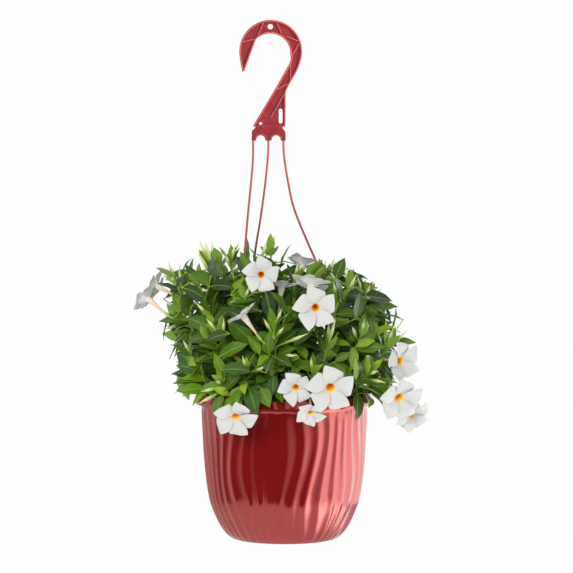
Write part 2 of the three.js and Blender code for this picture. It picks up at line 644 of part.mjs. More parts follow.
// A stem with the first clear try of each of its leaves: clear of all other pieces by a margin, and with
// its blade clear of the stem's own buds, flower stalks and other blades
function makeStem(shoot) {
  const node = stemName(shoot.index);
  const own = placed.filter((part) => part.node === node);
  const others = placed.filter((part) => part.node !== node);
  const parts = own.map((part) => part.solid);
  const blades = own.slice(1);
  for (let pair = shoot.pairs - 1; pair >= 0; pair -= 1) {
    for (const side of [0, 1]) {
      const tries = Array.from({ length: LEAF_TRIES }, (_, attempt) => placeLeaf(shoot, pair, side, attempt));
      const spot = tries.find((leaf) => inCrown(leafPoint(leaf, 1, 0))
        && isClear(leafSolid(leaf, CLEARANCE, 0), others)
        && isClear(leafSolid(leaf, 0, BLADE_START), blades));
      if (spot) {
        const blade = leafSolid(spot, 0, BLADE_START);
        blades.push({ solid: blade, box: blade.boundingBox() });
        parts.push(place(node, leafSolid(spot, 0, 0)));
      }
    }
  }
  return joined(parts);
}

const stemName = (index) => `leafy_stem_${String(index + 1).padStart(2, '0')}`;
const bloomName = (index) => `bloom_${String(index + 1).padStart(2, '0')}`;

// The finishes
const finish = (color, roughness) => new THREE.MeshStandardMaterial({ color, roughness, metalness: 0 });
const potRed = finish('#b0383c', 0.18);
const hangerRed = finish('#b84545', 0.4);
const pottingMix = finish('#2c2018', 0.95);
const leafGreen = finish('#3d7a1c', 0.4);
const petalWhite = finish('#f2f2ee', 0.6);

// The whole, hung from the hook
const group = new THREE.Group();
const planter = new THREE.Group();
planter.position.set(HOOK_SHIFT, 0, -HOOK_RISE);
group.add(planter);

function addPiece(name, solid, material) {
  const mesh = new THREE.Mesh(geometryOf(solid), material);
  mesh.name = name;
  planter.add(mesh);
}

addPiece('pot', place('pot', makePot()), potRed);
addPiece('hanger', place('hanger', makeHanger()), hangerRed);
addPiece('soil', place('soil', makeSoil(SHOOTS)), pottingMix);
for (const shoot of SHOOTS) place(stemName(shoot.index), stemSolid(shoot, 0));
for (const bud of BUDS) place(stemName(bud[0]), budSolid(bud));
for (const bloom of BLOOMS) place(stemName(bloom.shoot), stalkSolid(bloom));
BLOOMS.forEach((bloom, index) => {
  addPiece(bloomName(index), place(bloomName(index), bloomSolid(bloom)), petalWhite);
});
for (const shoot of SHOOTS) addPiece(stemName(shoot.index), makeStem(shoot), leafGreen);

export default group;
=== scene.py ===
import math

import bpy
import numpy as np
from mathutils import Matrix, Vector
from mathutils.bvhtree import BVHTree
from mathutils.kdtree import KDTree


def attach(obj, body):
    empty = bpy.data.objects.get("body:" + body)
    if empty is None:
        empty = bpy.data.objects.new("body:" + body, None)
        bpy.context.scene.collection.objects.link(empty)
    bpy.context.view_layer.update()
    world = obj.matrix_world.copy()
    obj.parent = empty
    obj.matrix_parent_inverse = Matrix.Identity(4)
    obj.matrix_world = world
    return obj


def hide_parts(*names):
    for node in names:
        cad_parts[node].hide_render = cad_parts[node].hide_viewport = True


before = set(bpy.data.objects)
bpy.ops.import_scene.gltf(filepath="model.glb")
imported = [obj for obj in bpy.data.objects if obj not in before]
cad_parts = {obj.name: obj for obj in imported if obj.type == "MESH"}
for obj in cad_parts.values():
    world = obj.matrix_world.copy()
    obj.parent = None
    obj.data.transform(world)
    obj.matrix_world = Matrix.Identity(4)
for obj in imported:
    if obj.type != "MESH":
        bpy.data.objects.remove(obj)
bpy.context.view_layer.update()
bpy.ops.object.select_all(action="DESELECT")
bpy.context.scene.view_settings.view_transform = "Standard"


# The camera stands far in front of the plant, a little above it, and looks down by a few degrees. The
# pieces are modelled in millimetres from the middle of the pot's rim, and FROM_RIM brings a finished mesh
# to the frame, in metres from the hook.
MM = 0.001
RIM_MIDDLE = Vector((19.6, 0, -518)) * MM
FROM_RIM = Matrix.Translation(RIM_MIDDLE) @ Matrix.Scale(MM, 4)
VIEW_DISTANCE = 6500
VIEW_DOWN = math.radians(5.4)
VIEW_MIDDLE = Vector((3, 0, 152))

camera = bpy.data.objects.new("camera", bpy.data.cameras.new("camera"))
bpy.context.scene.collection.objects.link(camera)
camera.data.sensor_width = 36
camera.data.lens = 283
camera.data.clip_end = 60
back = Vector((0, -math.cos(VIEW_DOWN), math.sin(VIEW_DOWN))) * VIEW_DISTANCE
camera.location = FROM_RIM @ (VIEW_MIDDLE + back)
camera.rotation_euler = (math.radians(90) - VIEW_DOWN, 0, 0)
bpy.context.scene.camera = camera


# The studio: a pale floor well below the hanging pot, and a white surround that wraps round the back and
# both sides, bright on the right and weaker on the left. It is dark in front, where the camera stands,
# and the glossy pot mirrors all of it. Three lamps light the plant, the floor and the hook.
FLOOR_DROP = 1300


def colour(hex_code):
    """A colour written in sRGB, turned to linear, with full alpha."""
    parts = [int(hex_code[i:i + 2], 16) / 255 for i in (1, 3, 5)]
    return [c / 12.92 if c <= 0.04045 else ((c + 0.055) / 1.055) ** 2.4 for c in parts] + [1]


def add_node(tree, kind, inputs=(), **settings):
    """A node with its settings, and its inputs given as values or as the outputs that feed them."""
    made = tree.nodes.new(kind)
    for name, value in settings.items():
        setattr(made, name, value)
    for key, value in dict(inputs).items():
        if isinstance(value, bpy.types.NodeSocket):
            tree.links.new(value, made.inputs[key])
        else:
            made.inputs[key].default_value = value
    return made


def new_material(name, base, roughness, **sockets):
    """A material with the Principled shader, and the numbers that are the same all over it."""
    material = bpy.data.materials.new(name)
    material.use_nodes = True
    shader = material.node_tree.nodes["Principled BSDF"]
    shader.inputs["Base Color"].default_value = colour(base)
    shader.inputs["Roughness"].default_value = roughness
    for key, value in sockets.items():
        shader.inputs[key.replace("_", " ")].default_value = value
    return material, material.node_tree, shader


def rescale(tree, value, low, high, to_low=0.0, to_high=1.0):
    """A value brought from one range to another, and held inside it."""
    return add_node(tree, "ShaderNodeMapRange", {
        "Value": value, "From Min": low, "From Max": high, "To Min": to_low, "To Max": to_high,
    }).outputs["Result"]


def reckon(tree, operation, *values):
    """The result of one operation on some values."""
    return add_node(tree, "ShaderNodeMath", dict(enumerate(values)), operation=operation).outputs[0]


def blend(tree, share, first, second, way="MIX"):
    """Two colours, blended by a share."""
    return add_node(tree, "ShaderNodeMix", {0: share, 6: first, 7: second},
                    data_type="RGBA", blend_type=way).outputs[2]


def colour_ramp(tree, share, stops):
    """The colour that a share from 0 to 1 meets among the stops, each of them a place and a colour."""
    ramp = add_node(tree, "ShaderNodeValToRGB", {"Fac": share})
    elements = ramp.color_ramp.elements
    for element, (place, shade) in zip((elements[0], elements[1]), (stops[0], stops[-1])):
        element.position = place
        element.color = shade
    for place, shade in stops[1:-1]:
        elements.new(place).color = shade
    return ramp.outputs["Color"]


bpy.ops.mesh.primitive_plane_add(size=1)
floor = bpy.context.active_object
floor.name = "studio_floor"
floor.data.transform(Matrix.Diagonal((6000, 6000, 1, 1)))
floor.data.transform(Matrix.Translation((0, 600, -212 - FLOOR_DROP)))
floor.data.transform(FROM_RIM)
paint = new_material(
    "painted_floor", "#f6f6f4", 0.8, Emission_Color=colour("#ffffff"), Emission_Strength=0.2)[0]
floor.data.materials.append(paint)

world = bpy.data.worlds.new("studio_surround")
world.use_nodes = True
bpy.context.scene.world = world
tree = world.node_tree
surround = tree.nodes["Background"]
seen = add_node(tree, "ShaderNodeLightPath")
way = add_node(tree, "ShaderNodeTexCoord")
split = add_node(tree, "ShaderNodeSeparateXYZ", {"Vector": way.outputs["Generated"]})
# From the front round by the left, the back and the right to the front again: share and brightness
WALL_TONES = [
    (0.168, 0.013), (0.225, 0.07), (0.3, 0.22), (0.42, 0.16), (0.5, 0.24), (0.57, 0.5), (0.63, 0.64),
    (0.7, 0.75), (0.815, 0.8), (0.835, 0.45), (0.88, 0.24), (0.93, 0.12), (0.965, 0.013),
]
round_about = rescale(tree, reckon(tree, "ARCTAN2", split.outputs["X"], split.outputs["Y"]),
                      -math.pi, math.pi)
walls = colour_ramp(tree, round_about, [(share, (tone, tone, tone, 1)) for share, tone in WALL_TONES])
room = blend(tree, rescale(tree, split.outputs["Z"], 0.06, 0.22), walls, (0.2, 0.2, 0.2, 1))
# What the pot mirrors is the room, what lights the plant is softer, and the camera sees plain white
soft = rescale(tree, split.outputs["Z"], -0.3, 0.9, 0.09, 0.17)
lit = blend(tree, seen.outputs["Is Glossy Ray"], soft, room)
tone = blend(tree, seen.outputs["Is Camera Ray"], lit, (0.222, 0.222, 0.222, 1))
tree.links.new(tone, surround.inputs["Color"])
surround.inputs["Strength"].default_value = 4.5


def hang_lamp(name, kind, place, energy, target=None):
    """A lamp turned to a target, or straight down. Neither the camera nor the glossy pot shows it."""
    bpy.ops.object.light_add(type=kind, location=FROM_RIM @ Vector(place))
    lamp = bpy.context.active_object
    lamp.name = name
    lamp.visible_glossy = False
    lamp.visible_camera = False
    lamp.data.energy = energy
    if target:
        lamp.rotation_euler = (Vector(target) - Vector(place)).to_track_quat("-Z", "Y").to_euler()
    return lamp.data


light = hang_lamp("soft_lamp_in_front", "AREA", (-900, -2400, 900), 54, VIEW_MIDDLE)
light.shape = "RECTANGLE"
light.size = 1.8
light.size_y = 1.4
# The second hangs low over the floor on the right, so that the pot's lower half mirrors a brighter floor
light = hang_lamp("lamp_over_the_floor", "AREA", (2300, -300, -700), 70)
light.shape = "RECTANGLE"
light.size = 1.6
light.size_y = 2.4
light.spread = math.radians(100)
# The third stands on the right and is narrowed to the hook, so that its ribs throw shadows
light = hang_lamp("spot_on_the_hook", "SPOT", (1270, -800, 880), 250, (-20, 0, 455))
light.spot_size = math.radians(14)
light.spot_blend = 0.6
light.shadow_soft_size = 0.09


# The pot: a hanging planter of polypropylene, injection moulded in one piece. Its wall hangs in forty
# wavy upright folds that fade out at the foot and below the sloping collar, and the polished mould gives
# it a high gloss. The collar has three slots for the hanger.
POT_HEIGHT = 212
RIM_RADIUS = 121
LIP_RADIUS = 130
LIP_DROP = 11.5
LEDGE_DROP = 16
WALL = 3
FOLDS = 40
FOLD_DEPTH = 0.85
POT_COLUMNS = 600
SLOT_ANGLES = [math.radians(angle) for angle in (240, 120, 0)]
SLOT_CIRCLE = 122.8
DRAIN_CIRCLE = 52
DRAIN_HOLES = 5
# Height above the foot, radius, and how deep the folds are there
WALL_LEVELS = [
    (0, 78, 0.3), (9, 87, 0.8), (26, 97, 1), (55, 108, 1), (95, 114, 1), (145, 117.6, 1),
    (POT_HEIGHT - LEDGE_DROP, 120, 0.8),
]


def smooth_line(points, steps):
    """An even line through given points, with some steps from each point to the next."""
    given = np.array(points, float)
    ends = np.vstack([2 * given[0] - given[1], given, 2 * given[-1] - given[-2]])
    line = []
    for a, b, c, d in zip(ends, ends[1:], ends[2:], ends[3:]):
        for t in np.arange(steps) / steps:
            line.append(0.5 * (2 * b + (c - a) * t + (2 * a - 5 * b + 4 * c - d) * t ** 2
                               + (3 * b - a - 3 * c + d) * t ** 3))
    return np.array([*line, given[-1]])


def fold_phase(angle, height):
    """How far round its folds the wall is at an angle and a height: a whole turn is one fold."""
    rise = height / POT_HEIGHT
    wander = 0.05 * np.sin(4.4 * rise + 2 * angle + 0.6) + 0.028 * np.sin(8.2 * rise - 5 * angle + 2.1)
    jitter = (0.9 * np.sin(3 * angle + 1.3) + 0.7 * np.sin(7 * angle + 0.4)
              + 0.5 * np.sin(11 * angle + 2.2))
    return FOLDS * (angle - wander) + jitter


def only(piece):
    """Selects one object alone and makes it the active one."""
    bpy.ops.object.select_all(action="DESELECT")
    piece.select_set(True)
    bpy.context.view_layer.objects.active = piece
    return piece


def new_piece(name, data):
    """A new object with its mesh or curve, alone selected."""
    piece = bpy.data.objects.new(name, data)
    bpy.context.scene.collection.objects.link(piece)
    return only(piece)


def turn_profile(name, profile, columns):
    """A solid of revolution about the upright axis, spun from a line of radii and heights."""
    mesh = bpy.data.meshes.new(name)
    mesh.from_pydata([(r, 0, z) for r, z in profile], [(i, i + 1) for i in range(len(profile) - 1)], [])
    piece = new_piece(name, mesh)
    bpy.ops.object.mode_set(mode="EDIT")
    bpy.ops.mesh.select_all(action="SELECT")
    bpy.ops.mesh.spin(steps=columns, angle=2 * math.pi, center=(0, 0, 0), axis=(0, 0, 1))
    bpy.ops.mesh.select_all(action="SELECT")
    bpy.ops.mesh.remove_doubles(threshold=0.005)
    bpy.ops.mesh.normals_make_consistent(inside=False)
    bpy.ops.object.mode_set(mode="OBJECT")
    return piece


def cut_out(piece, cutters):
    """Cuts the cutters' shapes out of a piece."""
    only(cutters[0])
    for cutter in cutters:
        cutter.select_set(True)
    bpy.ops.object.join()
    tool = bpy.context.active_object
    only(piece)
    cut = piece.modifiers.new("cut", "BOOLEAN")
    cut.operation, cut.solver, cut.object = "DIFFERENCE", "EXACT", tool
    bpy.ops.object.modifier_apply(modifier=cut.name)
    bpy.data.objects.remove(tool)


def finish(piece, *materials, angle=35):
    """Gives a piece its materials and smooth shading, and brings it to the frame."""
    for material in materials:
        piece.data.materials.append(material)
    only(piece)
    bpy.ops.object.shade_smooth_by_angle(angle=math.radians(angle))
    piece.data.transform(FROM_RIM)
    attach(piece, "root")


wall_line = smooth_line([(height, radius) for height, radius, _ in WALL_LEVELS], 11)
wall_outside = [(radius, height - POT_HEIGHT) for height, radius in wall_line]
wall_inside = [(radius - WALL, height - POT_HEIGHT) for height, radius in wall_line[8::3]]
foot = -POT_HEIGHT
ledge = -LEDGE_DROP
pot_profile = [
    (0, foot + 2), (66, foot + 2), (70, foot), (76.8, foot), *wall_outside[1:-1],
    (120, ledge - 0.8), (120.6, ledge), (128.2, ledge), (129, ledge + 0.4), (129.9, -0.8 - LIP_DROP),
    (130, 0.5 - LIP_DROP), (129.5, 1.2 - LIP_DROP), (122.2, -1.6), (121.5, -0.5), (120.6, 0), (119.6, 0),
    (119, -0.6), (119.4, -1.6), (127.8, -1.3 - LIP_DROP), (127.4, ledge + 2), (117.4, ledge + 2),
    (117, ledge + 1.4), *wall_inside[::-1], (78, foot + 3.5), (0, foot + 3.5),
]
pot = turn_profile("fluted_pot", pot_profile, POT_COLUMNS)
places = np.array([v.co for v in pot.data.vertices])
angles = np.arctan2(places[:, 1], places[:, 0])
heights = places[:, 2] + POT_HEIGHT
radii = np.hypot(places[:, 0], places[:, 1])
wall_radius = np.interp(heights, wall_line[:, 0], wall_line[:, 1])
depth = np.interp(heights, [h for h, _, _ in WALL_LEVELS], [d for _, _, d in WALL_LEVELS])
depth = depth * np.clip((POT_HEIGHT - LEDGE_DROP - heights) / 14, 0, 1)
on_wall = (np.abs(radii - wall_radius) < 0.3) & (heights > 0.5) & (heights < POT_HEIGHT - LEDGE_DROP)
fold = 1 - 2 * np.abs(np.sin(fold_phase(angles, heights) / 2)) ** 1.5
grown = 1 + on_wall * depth * FOLD_DEPTH * fold / np.maximum(radii, 1)
places[:, :2] *= grown[:, None]
pot.data.vertices.foreach_set("co", places.astype(np.float32).ravel())

openings = []
for k in range(DRAIN_HOLES):
    turn = 2 * math.pi * k / DRAIN_HOLES
    bpy.ops.mesh.primitive_cylinder_add(vertices=32, radius=5, depth=14, location=(
        DRAIN_CIRCLE * math.cos(turn), DRAIN_CIRCLE * math.sin(turn), foot))
    openings.append(bpy.context.active_object)
for turn in SLOT_ANGLES:
    bpy.ops.mesh.primitive_cylinder_add(vertices=24, radius=2.4, depth=LIP_DROP, location=(
        SLOT_CIRCLE * math.cos(turn), SLOT_CIRCLE * math.sin(turn), -0.4 * LIP_DROP))
    openings.append(bpy.context.active_object)
cut_out(pot, openings)

# Moulded polypropylene with a mirror gloss: an even red with faint, slow waves in the surface, as thin
# moulded walls have, and a little dust that dulls the gloss here and there.
gloss_red, tree, shader = new_material(
    "glossy_moulded_polypropylene", "#740b10", 0.1, IOR=1.9, Specular_IOR_Level=1.0,
    Specular_Tint=colour("#ff968e"))


def cloudy(tree, size, detail=2.0):
    """An uneven pattern all through a piece, with its patches about a size across in millimetres."""
    where = add_node(tree, "ShaderNodeTexCoord")
    return add_node(tree, "ShaderNodeTexNoise", {
        "Vector": where.outputs["Object"], "Scale": 1 / (size * MM), "Detail": detail}).outputs["Fac"]


def emboss(tree, shader, pattern, strength, depth, **settings):
    """Raises a pattern on the surface, by a depth in millimetres."""
    relief = add_node(tree, "ShaderNodeBump", {
        "Height": pattern, "Strength": strength, "Distance": depth * MM}, **settings)
    tree.links.new(relief.outputs["Normal"], shader.inputs["Normal"])


shade = colour_ramp(tree, cloudy(tree, 70, 1.5), [(0.3, colour("#6d090d")), (0.75, colour("#780c11"))])
tree.links.new(shade, shader.inputs["Base Color"])
dull = rescale(tree, cloudy(tree, 9, 4), 0.35, 0.8, 0.07, 0.19)
tree.links.new(dull, shader.inputs["Roughness"])
emboss(tree, shader, cloudy(tree, 24, 0.5), 0.15, 1.2)
finish(pot, gloss_red)
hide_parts("pot")


# The hanger: one moulding of polypropylene, a hook plate with a thin web between two flanges and straight
# ribs, a flat neck with a slot, a yoke with two arches, and three long strands that clip into the collar.
HOOK_PLACE = Vector((-19.6, 0, 516.8))
WEB_THICKNESS = 1.8
FLANGE_DEPTH = 7
FLANGE_WIDTH = 2.6
YOKE_DEPTH = 6
STRAND_RADIUS = 1.6


def arc(x, z, radius, start, end, count):
    """Points along an arc, from one angle to another in degrees."""
    turns = np.radians(np.linspace(start, end, count + 1))
    return [(x + radius * math.cos(t), z + radius * math.sin(t)) for t in turns]


def plate(outline, thickness, edge):
    """A flat plate upright in front of the viewer, extruded from its outline, with its edges rounded."""
    mesh = bpy.data.meshes.new("plate")
    mesh.from_pydata([(x, -thickness / 2, z) for x, z in outline], [], [list(range(len(outline)))])
    piece = new_piece("plate", mesh)
    bpy.ops.object.mode_set(mode="EDIT")
    bpy.ops.mesh.select_all(action="SELECT")
    bpy.ops.mesh.extrude_region_move(TRANSFORM_OT_translate={"value": (0, thickness, 0)})
    bpy.ops.mesh.select_all(action="SELECT")
    bpy.ops.mesh.normals_make_consistent(inside=False)
    bpy.ops.object.mode_set(mode="OBJECT")
    if edge:
        rounding = piece.modifiers.new("edge", "BEVEL")
        rounding.width, rounding.segments, rounding.limit_method = edge, 3, "ANGLE"
        rounding.angle_limit = math.radians(50)
        bpy.ops.object.modifier_apply(modifier=rounding.name)
    return piece


def strip(points, width, thickness, edge=1):
    """A flange or rib of even width along a line of points."""
    line = np.array(points, float)
    before = np.vstack([line[:1], line[:-1]])
    after = np.vstack([line[1:], line[-1:]])
    along = (after - before) / np.linalg.norm(after - before, axis=1)[:, None]
    side = np.stack([-along[:, 1], along[:, 0]], axis=1) * width / 2
    return plate([*map(tuple, line + side), *map(tuple, (line - side)[::-1])], thickness, edge)


inner_line = [
    (-39.4, -54.5), (-36.6, -47), (-22.6, -8.9), *arc(-0.7, -28.7, 30, 134, 0, 36), (30.2, -34.5),
    (29.6, -38.5), (28, -43.5), (7.8, -79.4), (-24.6, -133.6),
]
outer_line = [
    (-39.8, -54.5), (-42.4, -40), (-43.8, -30), *arc(0, -25.7, 43.9, 181, -16, 54), (39.7, -46.5),
    (36.9, -53), (32.8, -60.4), (27.2, -69.6), (21.2, -81.8), (20.4, -86), (20, -133.6),
]
yoke_line = [
    (-23.6, -131), (-22.1, -135.4), (-27.3, -139.9), (-27.6, -153.9),
    *arc(-14.4, -152.6, 6.4, 190, -10, 18), *arc(7.8, -152.6, 6.4, 190, -10, 18),
    (21.6, -153.9), (21.1, -141.4), (16.6, -135.4), (20.4, -131),
]
RIBS = [
    [(-10.3, 16), (-19.9, -5.8)], [(-41, -12.4), (-23.5, -8.1)], [(8.1, 16), (15.5, 0)],
    [(22, -4.3), (40, -11)], [(41.5, -12.4), (29, -34.5)], [(28, -43.5), (28.7, -68.4)],
    [(27, -71), (7.4, -81)], [(20.6, -84.5), (-0.7, -121.4)],
]
web = plate([*inner_line, *outer_line[::-1]], WEB_THICKNESS, 0)
yoke = plate(yoke_line, YOKE_DEPTH, 0.5)
cutters = []
for x, z, radius, stretch in [(-0.7, 9.7, 3.8, 0), (-14.6, -129.5, 2.3, 0), (14.2, -118.6, 2.75, 8)]:
    bpy.ops.mesh.primitive_cylinder_add(
        vertices=40, radius=radius, depth=30, rotation=(math.pi / 2, 0, 0))
    cutter = bpy.context.active_object
    bpy.ops.object.transform_apply(rotation=True)
    for v in cutter.data.vertices:
        v.co = (v.co.x + x, v.co.y, v.co.z + z + math.copysign(stretch, v.co.z))
    cutters.append(cutter)
cut_out(web, cutters)
hook_parts = [
    web,
    strip(inner_line, FLANGE_WIDTH, FLANGE_DEPTH),
    strip(outer_line, FLANGE_WIDTH, FLANGE_DEPTH),
    *[strip(points, 0.7 * FLANGE_WIDTH, 0.8 * FLANGE_DEPTH, 0.7) for points in RIBS],
    yoke,
    strip(arc(-14.4, -152.6, 8.2, 168, 12, 18), 1.1, YOKE_DEPTH + 1.6, 0.3),
    strip(arc(7.8, -152.6, 8.2, 168, 12, 18), 1.1, YOKE_DEPTH + 1.6, 0.3),
]
for part in hook_parts:
    part.data.transform(Matrix.Translation(HOOK_PLACE))

# The strands leave the yoke side by side, bow outward and come down through the collar's slots
STRANDS = [
    [(-44.9, 0, 368), (-44.9, -0.3, 354), (-45.3, -1.5, 334), (-48.5, -5.9, 296), (-53, -16, 251),
     (-57.2, -35.4, 200), (-61.5, -57, 146), (-64.9, -78, 90), (-67, -94, 40)],
    [(-23, 0, 368), (-23.1, 0.3, 352), (-24.2, 2, 333), (-28.1, 6.5, 296), (-34.5, 17, 249),
     (-42.2, 35, 201), (-48, 58, 146), (-52.6, 82, 90), (-55.4, 99, 40)],
    [(-1.6, 0, 368), (-1.2, 0, 352), (0.5, -0.1, 333), (5.4, -0.3, 303), (13.6, -0.6, 266),
     (32.1, -1.6, 219.4), (57.9, -2.8, 162), (88.5, -4.4, 96), (112.5, -5.6, 38)],
]


def tube_lines(name, lines, sides):
    """Round rods as one mesh: each line is its points, the radius at each, and its material's number."""
    curve = bpy.data.curves.new(name, "CURVE")
    curve.dimensions = "3D"
    curve.bevel_depth = 1
    curve.bevel_resolution = sides // 2 - 2
    curve.use_fill_caps = True
    for points, radii, number in lines:
        spline = curve.splines.new("POLY")
        spline.points.add(len(points) - 1)
        spline.material_index = number
        for point, place, radius in zip(spline.points, points, radii):
            point.co = (*place, 1)
            point.radius = radius
    new_piece(name, curve)
    bpy.ops.object.convert(target="MESH")
    return bpy.context.active_object


strand_lines = []
for route, turn in zip(STRANDS, SLOT_ANGLES):
    x, y = SLOT_CIRCLE * math.cos(turn), SLOT_CIRCLE * math.sin(turn)
    line = smooth_line([*route, (x, y, 12), (x, y, -9.6)], 9)
    barb = [(x, y, z) for z in (-9.6, -10.6, -13.4)]
    strand_lines.append((line, [STRAND_RADIUS] * len(line), 0))
    strand_lines.append((barb, [STRAND_RADIUS, 2.7, 1.2], 0))
strands = tube_lines("strands", strand_lines, 12)
# The same polypropylene from a finely textured mould: a satin red that is a little lighter than the pot,
# with a grain of about 0.6 mm, coarser than the real one so that it shows.
# The web and the yoke take a darker copy of this red, painted shade for the recesses between the flanges.
shaded_satin_red, tree, shader = new_material("satin_polypropylene_painted_shade", "#681b1e", 0.4, IOR=1.5)
shade = colour_ramp(tree, cloudy(tree, 14), [(0.3, colour("#63181b")), (0.7, colour("#6f1f22"))])
tree.links.new(shade, shader.inputs["Base Color"])
emboss(tree, shader, cloudy(tree, 0.6), 0.04, 0.15)
# The flanges, ribs and strands take a paler copy of the same red, a painted highlight on the edges that
# catch the light
highlit_satin_red, tree, shader = new_material("satin_polypropylene_painted_highlight", "#933d3d", 0.42, IOR=1.5)
emboss(tree, shader, cloudy(tree, 0.6), 0.04, 0.15)

# The web and yoke take the darker red with painted shade, and everything else the paler red with painted
# highlight
only(web)
for part in [*hook_parts, strands]:
    for material in (shaded_satin_red, highlit_satin_red):
        part.data.materials.append(material)
    for face in part.data.polygons:
        face.material_index = 0 if part in (web, yoke) else 1
    part.select_set(True)
bpy.ops.object.join()
hanger = bpy.context.active_object
hanger.name = "hook_and_strands"
finish(hanger)
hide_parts("hanger")


# The soil: moist potting mix of peat and bark that fills the pot to below the ledge, crumbly on top, with
# white grains of perlite in it. It lies in the shade of the leaves.
SOIL_DROP = 20
GRAINS = 90


def draw(*keys):
    """A random number from 0 to 1 that belongs to some whole-number keys, the same on every run."""
    hashed = 2166136261
    for key in keys:
        hashed = ((hashed ^ (key + 374761393)) * 16777619) & 0xFFFFFFFF
        hashed ^= hashed >> 13
    hashed = ((hashed ^ (hashed >> 15)) * 2246822519) & 0xFFFFFFFF
    hashed ^= hashed >> 13
    return hashed / 4294967296


def spread(reach, *keys):
    """A random number from -reach to reach."""
    return (2 * draw(*keys) - 1) * reach


soil_profile = [
    (0, foot + 4), (77, foot + 4),
    *[(radius - 0.6, z) for radius, z in wall_inside if z < -SOIL_DROP - 5],
    (116, -SOIL_DROP - 1.5), *[(radius, -SOIL_DROP) for radius in np.linspace(114, 0, 34)],
]
soil = turn_profile("potting_mix", soil_profile, 110)
for v in soil.data.vertices:
    if v.co.z > -SOIL_DROP - 1:
        rough = math.sin(0.31 * v.co.x + 0.8) * math.sin(0.27 * v.co.y) + spread(0.9, v.index, 61)
        v.co.z += 1.6 * rough * min(1, (116 - math.hypot(v.co.x, v.co.y)) / 8)
grains = []
for k in range(GRAINS):
    bpy.ops.mesh.primitive_ico_sphere_add(subdivisions=2, radius=1.1 + 1.2 * draw(k, 62))
    grain_piece = bpy.context.active_object
    turn, circle = 2 * math.pi * draw(k, 63), 112 * math.sqrt(draw(k, 64))
    for v in grain_piece.data.vertices:
        v.co *= 1 + spread(0.22, k, v.index, 65)
        v.co.z *= 0.7
    grain_piece.data.transform(Matrix.Translation(
        (circle * math.cos(turn), circle * math.sin(turn), 0.6 - SOIL_DROP)))
    for face in grain_piece.data.polygons:
        face.material_index = 1 if k % 3 else 2
    grains.append(grain_piece)

# Peat is nearly black when moist and quite matt, in crumbs of about 2 mm
peat, tree, shader = new_material("moist_peat", "#1f1610", 0.95)
crumbs = cloudy(tree, 2, 6)
shade = colour_ramp(tree, crumbs, [(0.35, colour("#140e0a")), (0.7, colour("#3a2a1d"))])
tree.links.new(shade, shader.inputs["Base Color"])
emboss(tree, shader, crumbs, 0.9, 1)

# Perlite is a chalk-white, foamed volcanic glass, and bark is a dull red-brown
perlite, tree, shader = new_material("perlite_grains", "#d8d4c8", 0.9)
where = add_node(tree, "ShaderNodeTexCoord")
pores = add_node(tree, "ShaderNodeTexVoronoi", {
    "Vector": where.outputs["Object"], "Scale": 1 / (0.7 * MM)})
emboss(tree, shader, pores.outputs["Distance"], 0.7, 0.4)
bark, tree, shader = new_material("bark_chips", "#4c3020", 0.85)
emboss(tree, shader, cloudy(tree, 1.2), 0.8, 0.5)
only(soil)
for piece in [soil, *grains]:
    for material in (peat, perlite, bark):
        piece.data.materials.append(material)
    piece.select_set(True)
bpy.ops.object.join()
finish(soil, angle=60)
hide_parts("soil")


# The blooms: white trumpet flowers, each a thin funnel of petal tissue whose five lobes spread out and lie
# over each other like a pinwheel. The throat is yellow to orange, and the tube is cream to peach outside.
# Each grows from a green calyx on a stalk, which belongs to its shoot.
PETAL_COLUMNS = 8
TUBE_ROWS = 8
LOBE_ROWS = 9
MOUTH = 0.185
TISSUE = 0.45
# The trumpet from its foot to the mouth: share of the way, radius at the foot's end and at the mouth's
FUNNEL = [
    (0, 1.25, 0), (0.34, 1.3, 0), (0.55, 2.1, 0), (0.78, 1, 0.1), (0.92, 0.5, 0.155), (1, 0, MOUTH),
]
# A lobe's two edges: share of the way out, angle in degrees and reach as a share of the bloom's radius
LEFT_EDGE = [(0, -36, 0.185), (0.2, -39, 0.34), (0.42, -43, 0.53), (0.7, -42.5, 0.71), (1, -32, 0.87)]
RIGHT_EDGE = [(0, 36, 0.185), (0.2, 37.5, 0.34), (0.42, 37.5, 0.53), (0.7, 29.5, 0.78), (1, 17.5, 1.07)]
